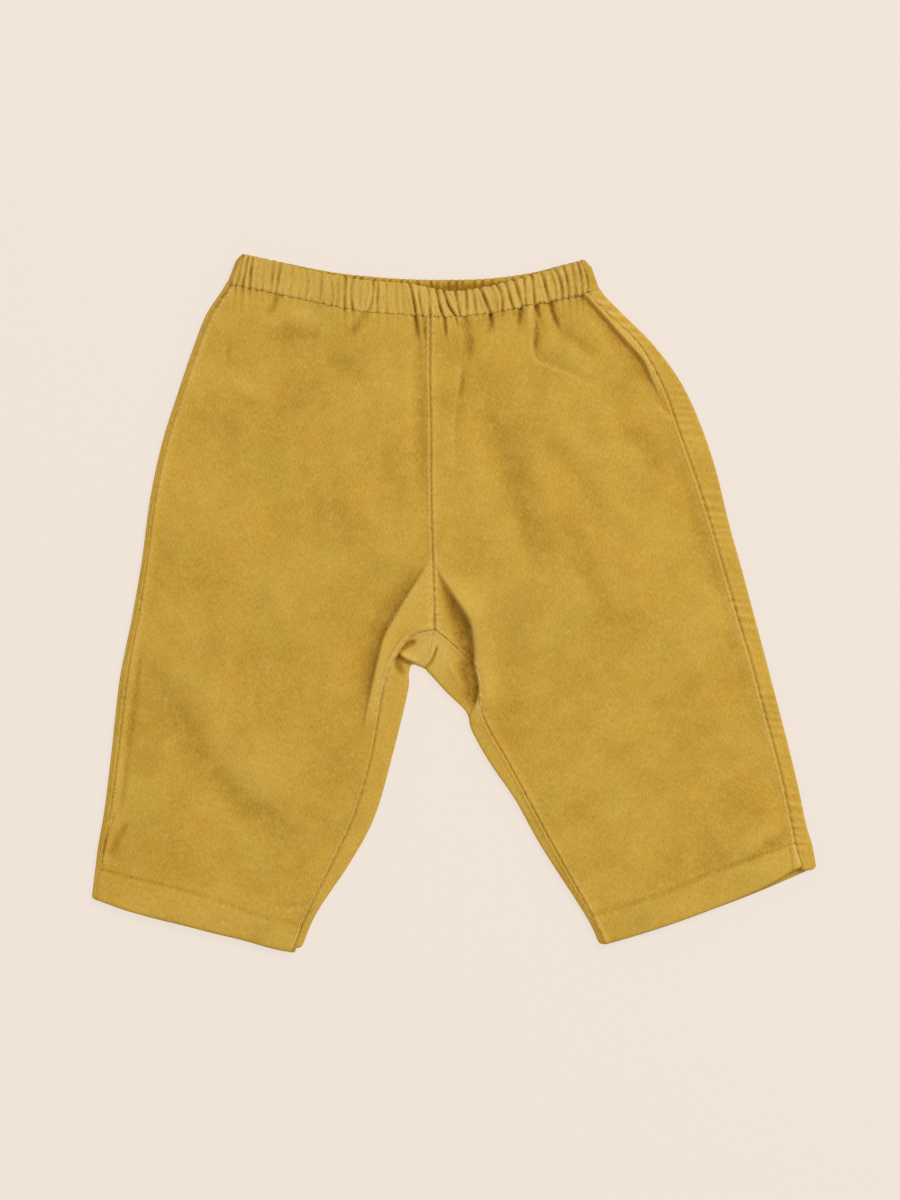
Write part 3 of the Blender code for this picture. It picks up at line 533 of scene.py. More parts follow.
def restlessness(x, y):
    # slow waves of cloth that never lies quite flat: three sines that cross at unlike angles
    first = np.sin(x * 0.062 + y * 0.031 + 1.3 * np.sin(y * 0.027))
    second = np.sin(x * 0.045 - y * 0.083 + 1.1 * np.sin(x * 0.038 + 2.0))
    third = np.sin(x * 0.19 + y * 0.11 + 1.6 * np.sin(y * 0.061 + 0.7))
    return 0.2 * first + 0.18 * second + 0.08 * third


# The panels' surfaces, each a function of the section down the leg and a share of the way across.

def besideSeam(away, along, allowance):
    # The roll down into a seam's groove, which comes and goes along it, a narrow shoulder beside that and the
    # low step over the seam allowance: step + bell about 1.4 mm - bell about the seam.
    groove = panel["seamDepth"] * bell(away, panel["seamWidth"]) * (0.6 + 0.6 * puckerWave(along, 4.7, 4.0))
    shoulder = panel["shoulder"] * bell(away - 1.4, 0.9) * (1 + 0.9 * puckerWave(along, 2.9, 1.0))
    return allowance * smoothStep(6.0 - away, 0.0, 4.0) + shoulder - groove


def waistBelow(x, y):
    # distance down from the casing's stitching
    return casingBottomHeight(x) - y


def sidePucker(leg, y):
    # the puckers across the side seam, the same on both sides of it
    return leg["sidePuckers"] * puckerWave(y, 4.8, 5.0)


def innerPucker(leg, y):
    # the puckers across the inner seam
    return puckerWave(y, 4.4, 2.0 + leg["side"])


def aboveHem(where):
    # 1 down the leg and 0 in the hem, where no fold goes on
    return smoothStep((hemRow + 1.6 - where) / 3)


def waistGathers(x, below):
    # the casing's gathers run on into the leg and fade in some ten millimetres
    fade = np.exp(-np.maximum(below, 0.0) / 7.5)
    rise = gatherRise(allGathers, x, 1 + below / casing["depth"], 0.4)
    return fade * rise * 1.1 + atWaistSeam(x, below)


def atWaistSeam(x, away):
    # beside the casing's stitching: a groove that comes and goes, and small crimps that the thread pulls up
    away = np.maximum(away, 0.0)
    crimp = 0.5 * puckerWave(x, 4.1, 0.6) + 0.3 * puckerWave(x, 2.1, 2.0)
    groove = 0.28 + 0.45 * puckerWave(x, 5.3, 3.0)
    return crimp * np.exp(-away / 2.4) - groove * bell(away, 0.6)


def frontSurface(leg, where, share):
    # From the inner seam at share 0 straight across to the side seam at share 1. The height is the seams',
    # the loft between them, the folds, the gathers under the waist, the seams' grooves and the hem's step.
    inner, outer = legCurve(leg, "innerSeam", where), legCurve(leg, "outerSeam", where)
    width = np.linalg.norm(outer - inner, axis=-1)
    plan = inner + (outer - inner) * share[..., None]
    top = leg["innerSeam"][0] + (leg["outerSeam"][0] - leg["innerSeam"][0]) * share[..., None]
    x, y = plan[..., 0], plan[..., 1]
    y = y + (casingBottomHeight(top[..., 0]) - top[..., 1]) * (1 - smoothStep(where / 3))
    bow = panel["hemBow"] * 4 * share * (1 - share) * smoothStep((where - hemRow + 2) / 3)
    y = y - bow + hemLift(leg, where, share)
    fromInner, fromOuter = share * width, (1 - share) * width
    radius = legCurve(leg, "radius", where)[..., 0]
    centre = panel["centreLoft"] * (1 - share) * (1 - smoothStep((where - crotchRow + 2) / 2))
    between = np.maximum(4 * share * (1 - share), 0.0) ** 0.6
    waist, hem = smoothStep(where / 2.5 + 0.2), aboveHem(where)
    z = 2 * radius + centre + panel["loft"] * between * waist * hem
    settled = smoothStep(np.minimum(fromInner, fromOuter), 0.0, 5.0)
    folds = foldField(frontFolds, x, y)
    z = z + folds * (0.6 + 0.4 * settled) * hem + restlessness(x, y) * settled * waist
    detail = waistGathers(x, waistBelow(x, y)) * smoothStep(np.minimum(fromInner, fromOuter), -1.0, 2.0)
    detail = detail + besideSeam(fromInner, y, 0.3) * innerSeamShown(leg, where)
    detail = detail + besideSeam(fromOuter, y, panel["seamRise"]) * outerSeamShown(leg, where)
    detail = detail + 0.36 * innerPucker(leg, y) * np.exp(-fromInner / 3.0)
    detail = detail + 0.5 * sidePucker(leg, y) * np.exp(-fromOuter / 3.0)
    detail = detail + hemRelief(where, x, hemLine(leg, share))
    # Painted shade and highlight for the colour: darker where the folds, waves, gathers, puckers and grooves
    # sink, and lighter where they rise, up to a limit for folds and waves, plus the painted highlight
    # streaks.
    raised, most = folds + shading["restless"] * restlessness(x, y), shading["mostCrest"]
    raised = np.where(raised > 0, most * np.tanh(raised / most), raised)
    paintedShading = raised + shading["detail"] * detail + foldField(paintedHighlightStreaks, x, y)
    return np.stack([x, y, softFloor(z + detail, 2.6, 0.25)], -1), paintedShading


def outerSeamShown(leg, where):
    # 1 where the side seam's groove shows: not in the right leg's hem, nor under the left hip's fold
    if leg["side"] > 0:
        return 1 - smoothStep(where, hemRow - 0.3, hemRow + 0.1)
    return smoothStep(where, 1.0, 1.9)


def innerSeamShown(leg, where):
    # 1 where the inner seam's groove shows: not under the overhang at the left side of the crotch
    if leg["side"] > 0:
        return np.ones_like(where)
    return 1 - smoothStep(where, 8.7, 9.0) * smoothStep(10.1 - where, 0.0, 0.3)


def hemLift(leg, where, share):
    # how far the front hem is drawn up, in Y, so that the back's hem shows under it
    low = smoothStep(where, hemRow, lastRow)
    if leg["side"] > 0:
        return panel["hemDraw"] * low * smoothStep(share, 0.05, 0.3) * smoothStep(0.9 - share, 0.0, 0.4)
    return panel["hemDraw"] * low * smoothStep(share, 0.80, 0.97)


def hemLine(leg, share):
    # the row of the hem's stitching, which runs lower near the inside of the right leg
    if leg["side"] > 0:
        return hemRow + 0.33 * smoothStep(0.65 - share, 0.0, 0.6)
    return hemRow + -0.12 * smoothStep(share, 0.3, 0.7)


def hemRelief(where, x, line=hemRow):
    # the stitching's shallow groove with its small drag lines, the doubled cloth under it and the folded edge
    below = (where - line) * panel["hemDepth"]
    groove = -0.6 * bell(below, 1.0) + 0.2 * bell(below + 2.0, 1.2)
    drag = 0.12 * puckerWave(x, 3.4, 1.0) * bell(below, 4.0)
    edge = -0.8 * smoothStep(where, lastRow - 0.08, lastRow)
    return groove + drag + edge + panel["hemStep"] * smoothStep(below, 0.0, 1.2)


def roundedEdge(leg, name, where):
    # an edge of the leg, drawn in at the hem's corner by a quarter of a circle
    corner = np.clip((where - lastRow) / 0.12 + 1, 0.0, 1.0)
    radius = panel["corner"] * (0.4 if leg["side"] < 0 and name == "innerEdge" else 1.0)
    inwards = radius * (1 - np.sqrt(1 - 0.98 * corner**2))
    way = wayOut(leg, name, where) * (1 if name == "outerEdge" else -1)
    return legCurve(leg, name, where) - way * inwards[..., None]


def foldLine(leg, which, where):
    # where the half circle round an edge begins and ends, and the radius from there straight out to the edge
    out = wayOut(leg, which + "Edge", where) * (1 if which == "outer" else -1)
    across = out * legCurve(leg, "radius", where)
    return roundedEdge(leg, which + "Edge", where) - across, across


def stripSurface(leg, where, share, which):
    # The back panel where it is turned up on top: from the fold at the edge, share 0, straight to the seam,
    # share 1. It takes the front's folds and has puckers across it.
    start, seam = foldLine(leg, which, where)[0], legCurve(leg, which + "Seam", where)
    plan = start + (seam - start) * share[..., None]
    x, y = plan[..., 0], plan[..., 1]
    width = np.linalg.norm(seam - start, axis=-1)
    fromSeam = (1 - share) * width
    if which == "outer":
        puckers = 1.4 * sidePucker(leg, y) * np.exp(-fromSeam / 9.0)
    else:
        puckers = 0.3 * innerPucker(leg, y) * np.exp(-fromSeam / 3.0)
    rise = panel["seamRise"] * smoothStep(share * 1.5)
    shown = outerSeamShown(leg, where) if which == "outer" else innerSeamShown(leg, where)
    z = 2 * legCurve(leg, "radius", where)[..., 0] + rise + besideSeam(fromSeam, y, 0.0) * shown
    z = z + puckers * smoothStep(share, 0.0, 0.3)
    z = z + stripFolds(x, y, smoothStep(fromSeam, 0.0, 1.2)) * aboveHem(where)
    z = z + hemRelief(where, x) * smoothStep(share, 0.0, 0.4)
    return np.stack([x, y, softFloor(z, 2.5, 0.25)], -1)


def stripFolds(x, y, free=1.0):
    # the turned-up parts of the back share the front's folds and, where they are free, have their own creases
    return foldField(frontFolds, x, y) * 0.6 + foldField(crotchCreases, x, y) * free


def edgeSurface(leg, where, turn, which):
    # the fold round an edge of the leg: half a circle of its radius, from turn -1, underneath, to 1, on top
    start, across = foldLine(leg, which, where)
    angle = turn * np.pi / 2
    plan = start + across * np.cos(angle)[..., None]
    x, y = plan[..., 0], plan[..., 1]
    z = legCurve(leg, "radius", where)[..., 0] * (1 + np.sin(angle))
    onTop = np.maximum(np.sin(angle), 0.0) ** 3
    z = z + stripFolds(x, y) * onTop * aboveHem(where)
    return np.stack([x, y, softFloor(z, 2.5, 0.25) * onTop + z * (1 - onTop)], -1)


def rowBend(leg, where, share):
    # The right leg's rows at the crotch rise steeply from the notch's slanted top and come back down, as
    # s exp(1 - s) does, where s is the share over the share at which they are highest. So they don't cross.
    if leg["side"] < 0:
        return 0.0 * share
    near = smoothStep(where, crotchRow - 0.5, crotchRow) * smoothStep(crotchRow + 2.5 - where, 0.0, 1.3)
    highest = panel["bendShare"]
    return panel["rowBend"] * near * share / highest * np.exp(1 - share / highest)


def underSurface(leg, where, share):
    # The back panel on the floor, straight across from its inner side at share 0 to its outer side at 1. Its
    # hollows, the groove of the centre back seam and the gathers under the waist rise from the floor.
    outer = foldLine(leg, "outer", where)[0]
    inner = legCurve(leg, "innerEdge", where)
    turned = foldLine(leg, "inner", where)[0]
    nearing = smoothStep(where, crotchRow - 0.4, crotchRow)[..., None]
    inner = inner - crotchWay * legCurve(leg, "radius", where) * nearing
    inner = np.where((where < crotchRow)[..., None], inner, turned)
    plan = inner + (outer - inner) * share[..., None]
    x, y = plan[..., 0], plan[..., 1] + rowBend(leg, where, share)
    top = inner[:1, :1] + (outer[:1, :1] - inner[:1, :1]) * share[..., None]
    y = y + (casingBottomHeight(top[..., 0]) - top[..., 1]) * (1 - smoothStep(where / 3))
    y = y - panel["hemBow"] * 4 * share * (1 - share) * smoothStep((where - hemRow + 2) / 3)
    width = np.linalg.norm(outer - inner, axis=-1)
    settled = smoothStep(share, 0.0, 0.06) * smoothStep(1 - share, 0.0, 0.06)
    z = foldField(underFolds, x, y) * settled
    above = smoothStep(crotchRow + 0.3 - where, 0.0, 0.3)
    z = z + 0.7 * bell(share * width, 0.7) * above
    below = np.maximum(waistBelow(x, y), 0.0)
    gathers = -gatherRise(backGathers, x, 1 + below / casing["depth"], 0.2)
    z = z + np.maximum(gathers, 0.0) * np.exp(-below / 7.0) * settled
    return np.stack([x, y, np.minimum(z, 1.3)], -1)


backGathers = backGatherTable()


# Making meshes.

def gridFaces(rows, columns, closed=False):
    # four corners for each face of a grid, row by row; closed joins the last row to the first
    across = np.arange(columns - 1)[None, :]
    first = np.arange(rows if closed else rows - 1)[:, None]
    second = (first + 1) % rows
    corners = [first * columns + across, second * columns + across,
               second * columns + across + 1, first * columns + across + 1]
    return np.stack(np.broadcast_arrays(*corners), -1).reshape(-1, 4)


def addObject(name, data):
    # a mesh, lamp or camera, put in the scene
    made = bpy.data.objects.new(name, data)
    bpy.context.scene.collection.objects.link(made)
    return made


def makePiece(name, vertices, faces, cloth, paintedShading, material):
    # Puts grids of points and values into a mesh: millimetres become metres, cloth is the UV map, and the
    # painted shade and highlight of each point become its value "fold". Points that no face uses are left
    # out.
    vertices, cloth = vertices.reshape(-1, 3), cloth.reshape(-1, 2)
    used = np.unique(np.concatenate([block.ravel() for block in faces]))
    order = np.full(len(vertices), -1)
    order[used] = np.arange(len(used))
    polygons = [polygon for block in faces for polygon in order[block].tolist()]
    mesh = bpy.data.meshes.new(name)
    mesh.from_pydata((vertices[used] * millimetre).tolist(), [], polygons)
    corners = np.zeros(len(mesh.loops), int)
    mesh.loops.foreach_get("vertex_index", corners)
    layer = mesh.uv_layers.new(name="cloth")
    layer.data.foreach_set("uv", (cloth[used][corners] * millimetre).ravel())
    # the value "fold" holds the painted shade and highlight that the cloth's material mixes into its colour
    value = mesh.attributes.new("fold", "FLOAT", "POINT")
    value.data.foreach_set("value", paintedShading.ravel()[used])
    sizes = np.zeros(len(mesh.polygons), int)
    mesh.polygons.foreach_get("loop_total", sizes)
    mesh.polygons.foreach_set("use_smooth", sizes <= 4)
    mesh.materials.append(material)
    return addObject(name, mesh)


def panelPiece(name, points, faces, cloth, paintedShading):
    # a panel with the cloth's thickness, inwards from its surface
    piece = makePiece(name, points, [faces], cloth, paintedShading, needlecord)
    solidify = piece.modifiers.new("wall", "SOLIDIFY")
    solidify.thickness = panel["cloth"] * millimetre
    solidify.offset = -1.0
    solidify.use_rim = True
    return piece


def leaningCloth(leg, points):
    # cloth coordinates, turned so that the wales run along the second one
    x, y = points[..., 0], points[..., 1]
    angle = np.radians(leg["waleLean"])
    return np.stack([x * np.cos(angle) - y * np.sin(angle), x * np.sin(angle) + y * np.cos(angle)], -1)


def shareColumns(width, nearSeam, middle):
    # shares of the way from the inner seam: closer within 4 mm of both seams, and wider towards the middle
    close = 4.0 * (np.arange(nearSeam) / nearSeam) ** 1.25
    inner = close[None, :] + 0 * width[:, None]
    t = np.linspace(0, 1, middle)
    t = t - 0.07 * np.sin(2 * np.pi * t)
    even = 4.0 + (width[:, None] - 8.0) * t[None, :]
    outer = width[:, None] - close[::-1][None, :]
    return np.concatenate([inner, even, outer], 1) / width[:, None]


# Materials. Colours are linear, and shares say how much of a colour is mixed in.
needlecordLook = {
    "base": (0.596, 0.352, 0.043),
    "greenish": (0.566, 0.374, 0.053),
    "orange": (0.600, 0.322, 0.036),
    "groove": (0.290, 0.135, 0.004),
    # painted shade in hollows and seam grooves; also the colour of the dark nap patches
    "hollow": (0.250, 0.104, 0.001),
    # painted highlight on ridges; also the colour of the brushed and light flecks
    "ridge": (0.700, 0.455, 0.092),
    "pale": (0.800, 0.600, 0.220),  # painted highlight on the ribs of high folds
    "baseShare": 0.35,
    "foldShare": 0.28,  # of the hollow's colour, as painted shade, for each millimetre that a fold sinks, and of the ridge's colour, as painted highlight, for each millimetre it rises
    "mostHollow": 0.9,
    "mostRidge": 0.55,
    "patchShare": 0.2,  # where the nap lies dark
    "brushShare": 0.6,  # where it is brushed up
    "mostNap": 0.7,  # the most of either
    "darkFleck": 0.2,
    "lightFleck": 0.22,
    "grooveShare": 0.42,  # between the wales
    "ribHighlightFrom": 1.1,  # the height of fold at which the painted highlight on the ribs begins
    "ribHighlightTo": 3.0,
    "ribHighlightShare": 0.5,
    "roughness": 0.92,
    "sheen": 0.12,
    "walePitch": 0.00108,  # metres, as the next three
    "waleWander": 0.0003,  # how far the wales stray sideways
    "waleHeight": 0.00020,
    "pileHeight": 0.00007,
}

# Noise fields of the nap: cycles a metre, detail, roughness, and the values that become 0 and 1.
napFields = {
    "patch": (36.0, 2.0, 0.5, 0.40, 0.80),
    "fine": (430.0, 2.0, 0.6, 0.45, 0.80),
    "coarse": (130.0, 2.0, 0.6, 0.40, 0.75),
    "worn": (45.0, 2.0, 0.6, 0.46, 0.66),
    "fleck": (1300.0, 1.0, 0.5, 0.30, 0.70),
}

threadLook = {
    "dark": (0.60, 0.37, 0.05),
    "light": (0.72, 0.47, 0.10),
    "roughness": 0.8,
}


def makeGroup(name, inputs, outputs):
    # an empty node group with its sockets
    group = bpy.data.node_groups.new(name, "ShaderNodeTree")
    for socket, kind, value in inputs:
        made = group.interface.new_socket(name=socket, in_out="INPUT", socket_type="NodeSocket" + kind)
        if value is not None:
            made.default_value = value
    for socket, kind in outputs:
        group.interface.new_socket(name=socket, in_out="OUTPUT", socket_type="NodeSocket" + kind)
    return group, group.nodes.new("NodeGroupInput"), group.nodes.new("NodeGroupOutput")


def newMaterial(name):
    # a material, its node tree and its Principled shader
    material = bpy.data.materials.new(name)
    material.use_nodes = True
    return material, material.node_tree, material.node_tree.nodes["Principled BSDF"]


def setInputs(node, values):
    # plain values for a node's sockets
    for socket, value in values.items():
        node.inputs[socket].default_value = value


def clothCoordinates(tree):
    # the UV map of the cloth, in metres
    node = tree.nodes.new("ShaderNodeUVMap")
    node.uv_map = "cloth"
    return node.outputs[0]


def maths(tree, operation, *values):
    # a Math node fed by numbers or sockets; returns its output
    node = tree.nodes.new("ShaderNodeMath")
    node.operation = operation
    for slot, value in enumerate(values):
        if isinstance(value, (int, float)):
            node.inputs[slot].default_value = value
        else:
            tree.links.new(value, node.inputs[slot])
    return node.outputs[0]


def noiseField(tree, vector, scale, detail=2.0, roughness=0.5):
    # a Noise Texture's value, in cycles a metre
    node = tree.nodes.new("ShaderNodeTexNoise")
    setInputs(node, {"Scale": scale, "Detail": detail, "Roughness": roughness})
    tree.links.new(vector, node.inputs["Vector"])
    return node.outputs[0]


def spread(tree, value, low, high):
    # 0 at low and below, 1 at high and above, with a soft start and end
    node = tree.nodes.new("ShaderNodeMapRange")
    node.interpolation_type = "SMOOTHSTEP"
    setInputs(node, {"From Min": low, "From Max": high})
    tree.links.new(value, node.inputs["Value"])
    return node.outputs["Result"]


def mixColour(tree, factor, first, second, blend="MIX"):
    # a Mix node for colours; each input may be a colour, a number or a socket
    node = tree.nodes.new("ShaderNodeMix")
    node.data_type = "RGBA"
    node.blend_type = blend
    for slot, value in ((0, factor), (6, first), (7, second)):
        if isinstance(value, bpy.types.NodeSocket):
            tree.links.new(value, node.inputs[slot])
        elif slot:
            node.inputs[slot].default_value = (*value, 1.0)
        else:
            node.inputs[slot].default_value = value
    return node.outputs[2]


def makeWaleGroup():
    # ribs along the cloth's second coordinate, a little wavy, uneven in height and broken up by the pile
    group, start, end = makeGroup(
        "needlecordWales",
        [
            ("Cloth", "Vector", None),
            ("Pitch", "Float", needlecordLook["walePitch"]),
            ("Wander", "Float", needlecordLook["waleWander"]),
        ],
        [("Rib", "Float"), ("Pile", "Float"), ("Groove", "Float")],
    )
    split = group.nodes.new("ShaderNodeSeparateXYZ")
    group.links.new(start.outputs["Cloth"], split.inputs[0])
    drift = maths(group, "SUBTRACT", noiseField(group, start.outputs["Cloth"], 60.0, 1.0), 0.5)
    drift = maths(group, "MULTIPLY", drift, start.outputs["Wander"])
    place = maths(group, "ADD", split.outputs[0], drift)
    turns = maths(group, "DIVIDE", place, start.outputs["Pitch"])
    wave = maths(group, "COSINE", maths(group, "MULTIPLY", turns, 2 * np.pi))
    rounded = maths(group, "MULTIPLY_ADD", wave, 0.5, 0.5)
    rib = maths(group, "POWER", rounded, 0.55)
    pile = noiseField(group, start.outputs["Cloth"], 2600.0, 3.0, 0.65)
    group.links.new(rib, end.inputs["Rib"])
    group.links.new(pile, end.inputs["Pile"])
    group.links.new(maths(group, "POWER", maths(group, "SUBTRACT", 1.0, rounded), 3.0), end.inputs["Groove"])
    return group


def makeNapGroup():
    # Drift: slow change of hue. Patch: where the nap lies dark. Brush: light flecks drawn out along the
    # wales. Fleck: the finest ones. Worn: where the wales show, because the pile is thin.
    group, start, end = makeGroup(
        "brushedNap",
        [("Place", "Vector", None), ("Cloth", "Vector", None)],
        [(name, "Float") for name in ("Drift", "Patch", "Brush", "Fleck", "Worn")],
    )
    place, cloth = start.outputs["Place"], start.outputs["Cloth"]
    stretch = group.nodes.new("ShaderNodeMapping")
    stretch.inputs["Scale"].default_value = (1.0, 0.35, 1.0)
    group.links.new(cloth, stretch.inputs["Vector"])
    slow, speckle = noiseField(group, place, 24.0, 2.0, 0.5), noiseField(group, place, 330.0, 2.0, 0.6)
    drift = maths(group, "MULTIPLY_ADD", speckle, 0.6, maths(group, "MULTIPLY", slow, 0.7))
    drift = spread(group, drift, 0.45, 0.85)
    made = {"Drift": drift}
    for name, (scale, detail, roughness, low, high) in napFields.items():
        across = stretch.outputs[0] if name in ("fine", "fleck") else place
        field = noiseField(group, across, scale, detail, roughness)
        made[name.capitalize()] = spread(group, field, low, high)
    coarse = maths(group, "MULTIPLY", made.pop("Coarse"), 0.45)
    made["Brush"] = maths(group, "MULTIPLY_ADD", made.pop("Fine"), 0.55, coarse)
    for socket, value in made.items():
        group.links.new(value, end.inputs[socket])
    return group


waleGroup = makeWaleGroup()
napGroup = makeNapGroup()


def limited(tree, value, factor, highest):
    # a socket times a factor, kept from 0 to the highest
    scaled = maths(tree, "MAXIMUM", maths(tree, "MULTIPLY", value, factor), 0.0)
    return maths(tree, "MINIMUM", scaled, highest)


def addBump(tree, shader, height, strength, distance):
    # a height, in units of the distance in metres, as small relief
    bump = tree.nodes.new("ShaderNodeBump")
    setInputs(bump, {"Strength": strength, "Distance": distance})
    tree.links.new(height, bump.inputs["Height"])
    tree.links.new(bump.outputs[0], shader.inputs["Normal"])


def makeNeedlecord():
    # Base colour: patches of two hues; painted shade, darker and redder, in hollows and seam grooves, and
    # painted highlight on ridges and on the ribs of high folds; dark nap patches, brushed and fine flecks,
    # and darker grooves between the wales. Bump: the wales and the pile.
    look = needlecordLook
    material, tree, shader = newMaterial("mustardNeedlecord")
    cloth = clothCoordinates(tree)
    place = tree.nodes.new("ShaderNodeTexCoord").outputs["Object"]
    attribute = tree.nodes.new("ShaderNodeAttribute")
    attribute.attribute_name = "fold"
    fold = attribute.outputs["Fac"]
    wales, nap = tree.nodes.new("ShaderNodeGroup"), tree.nodes.new("ShaderNodeGroup")
    wales.node_tree, nap.node_tree = waleGroup, napGroup
    tree.links.new(cloth, wales.inputs["Cloth"])
    tree.links.new(cloth, nap.inputs["Cloth"])
    tree.links.new(place, nap.inputs["Place"])
    colour = mixColour(tree, nap.outputs["Drift"], look["orange"], look["greenish"])
    colour = mixColour(tree, look["baseShare"], colour, look["base"])
    # painted shade in hollows and painted highlight on ridges, from the fold value, then the dark nap patches
    # and brushed flecks
    layers = (
        (fold, -look["foldShare"], look["mostHollow"], "hollow"),
        (fold, look["foldShare"], look["mostRidge"], "ridge"),
        (nap.outputs["Patch"], look["patchShare"], look["mostNap"], "hollow"),
        (nap.outputs["Brush"], look["brushShare"], look["mostNap"], "ridge"),
    )
    for value, share, most, tone in layers:
        colour = mixColour(tree, limited(tree, value, share, most), colour, look[tone])
    dark = mixColour(tree, look["darkFleck"], colour, look["groove"])
    light = mixColour(tree, look["lightFleck"], colour, look["ridge"])
    colour = mixColour(tree, nap.outputs["Fleck"], dark, light)
    shown = maths(tree, "MULTIPLY", wales.outputs["Groove"], nap.outputs["Worn"])
    colour = mixColour(tree, maths(tree, "MULTIPLY", shown, look["grooveShare"]), colour, look["groove"])
    # painted highlight, pale, on the ribs where the fold value is high
    ribHighlightMask = spread(tree, fold, look["ribHighlightFrom"], look["ribHighlightTo"])
    ribHighlightMask = maths(tree, "MULTIPLY", ribHighlightMask, maths(tree, "POWER", wales.outputs["Rib"], 2.0))
    colour = mixColour(tree, maths(tree, "MULTIPLY", ribHighlightMask, look["ribHighlightShare"]), colour, look["pale"])
    tree.links.new(colour, shader.inputs["Base Color"])
    setInputs(shader, {
        "Roughness": look["roughness"],
        "Sheen Weight": look["sheen"],
        "Sheen Roughness": 0.5,
        "Sheen Tint": (1.0, 0.86, 0.5, 1.0),
        "Specular IOR Level": 0.06,
    })
    height = maths(tree, "MULTIPLY", wales.outputs["Rib"], look["waleHeight"])
    height = maths(tree, "MULTIPLY_ADD", wales.outputs["Pile"], look["pileHeight"], height)
    addBump(tree, shader, height, 0.6, 1.0)
    return material


def makeThread():
    # twisted thread: a fine slanted wave along each stitch's own coordinates
    material, tree, shader = newMaterial("mustardThread")
    twist, turned = tree.nodes.new("ShaderNodeTexWave"), tree.nodes.new("ShaderNodeMapping")
    setInputs(twist, {"Scale": 900.0})
    setInputs(turned, {"Rotation": (0.0, 0.0, 0.6)})
    tree.links.new(clothCoordinates(tree), turned.inputs["Vector"])
    tree.links.new(turned.outputs[0], twist.inputs["Vector"])
    colour = mixColour(tree, twist.outputs["Fac"], threadLook["dark"], threadLook["light"])
    tree.links.new(colour, shader.inputs["Base Color"])
    setInputs(shader, {"Roughness": threadLook["roughness"], "Specular IOR Level": 0.1})
    addBump(tree, shader, twist.outputs["Fac"], 0.4, 0.00005)
    return material


needlecord = makeNeedlecord()
thread = makeThread()
print("materials made")


# The meshes of the leg panels: rows above and below the crotch, then columns across each part.
legMesh = {
    "rowsAbove": 140,
    "rowsBelow": 150,
    "nearSeam": 14,
    "middle": 134,
    "strip": 22,
    "edge": 8,
    "under": 40,
}


def makeFront(name, leg):
    # a front panel: one grid from the inner seam to the side seam
    places = rowPlaces(leg, legMesh["rowsAbove"], legMesh["rowsBelow"])
    seams = legCurve(leg, "outerSeam", places) - legCurve(leg, "innerSeam", places)
    share = shareColumns(np.linalg.norm(seams, axis=-1), legMesh["nearSeam"], legMesh["middle"])
    where = np.broadcast_to(places[:, None], share.shape)
    # the second grid is the painted shade and highlight of each point
    points, folds = frontSurface(leg, where, share)
    faces = gridFaces(*share.shape)
    if leg["side"] > 0:
        faces = faces[:, ::-1]
    return panelPiece(name, points, faces, leaningCloth(leg, points), folds)


def makeBack(name, leg):
    # A back panel: one grid from the inner seam round the inner edge, underneath, round the outer edge and to
    # the side seam. It is L-shaped: above the crotch it begins at the centre back seam, underneath.
    places = rowPlaces(leg, legMesh["rowsAbove"], legMesh["rowsBelow"])
    strip, edge, under = (np.linspace(0, 1, legMesh[key] + 1)[None, :] for key in ("strip", "edge", "under"))
    stripShare = 1 - (1 - strip) ** 1.3
    where = places[:, None]
    low = np.maximum(where, crotchRow)
    blocks = [
        stripSurface(leg, *np.broadcast_arrays(low, stripShare[:, ::-1]), "inner"),
        edgeSurface(leg, *np.broadcast_arrays(low, 1 - 2 * edge), "inner")[:, 1:],
        underSurface(leg, *np.broadcast_arrays(where, under))[:, 1:],
        edgeSurface(leg, *np.broadcast_arrays(where, 2 * edge - 1), "outer")[:, 1:],
        stripSurface(leg, *np.broadcast_arrays(where, stripShare), "outer")[:, 1:],
    ]
    turnedUp = legMesh["strip"] + legMesh["edge"]
    start = underSurface(leg, *np.broadcast_arrays(where, under[:, :1]))
    blocks[1][:, -1] = np.where(places[:, None] < crotchRow, start[:, 0], blocks[1][:, -1])
    points = np.concatenate(blocks, 1)
    rows, columns = points.shape[:2]
    kept = np.ones((rows - 1, columns - 1), bool)
    kept[:legMesh["rowsAbove"], :turnedUp] = False
    faces = gridFaces(rows, columns)[kept.ravel()]
    if leg["side"] < 0:
        faces = faces[:, ::-1]
    cloth = leaningCloth(leg, points)
    outerPart = np.arange(columns)[None, :] > turnedUp + legMesh["under"]
    tucked = (1 - smoothStep(places / 0.3)[:, None]) * outerPart
    across, up, down = panel["tuck"]
    points[..., 0] += tucked * across * leg["side"]
    points[..., 1] += tucked * up
    points[..., 2] -= tucked * down * (points[..., 2] > 2.5)
    # painted shade and highlight of the turned-up parts' folds and puckers, painted highlight over them all,
    # and none underneath
    paintedShading = shading["backFolds"] * stripFolds(points[..., 0], points[..., 1]) + shading["back"]
    paintedShading = paintedShading + shading["backPuckers"] * sidePucker(leg, points[..., 1]) * outerPart
    paintedShading = np.where(points[..., 2] > 2.0, paintedShading, 0.0)
    return panelPiece(name, points, faces, cloth, paintedShading)


rightFront = makeFront("right_leg_front_cloth", rightLeg)
leftFront = makeFront("left_leg_front_cloth", leftLeg)
rightBack = makeBack("right_leg_back_cloth", rightLeg)
leftBack = makeBack("left_leg_back_cloth", leftLeg)
print("legs made")


# The meshes of the waist casing: points up a face of the band's section and over its rolled top, and steps
# along each part.
casingMesh = {
    "frontSection": (30, 9),
    "front": 640,
    "backSection": (18, 7),
    "strip": 6,
    "edge": 8,
    "back": 300,
}


def casingPlan(column, share, down, insets):
    # a place on the straight line from the top edge to the bottom one, both drawn in at their ends
    (topX, topY), (bottomX, bottomY) = drawnIn(column, share, insets), drawnIn(2, share, insets)
    return topX + (bottomX - topX) * down, topY + (bottomY + baseWander(bottomX) - topY) * down


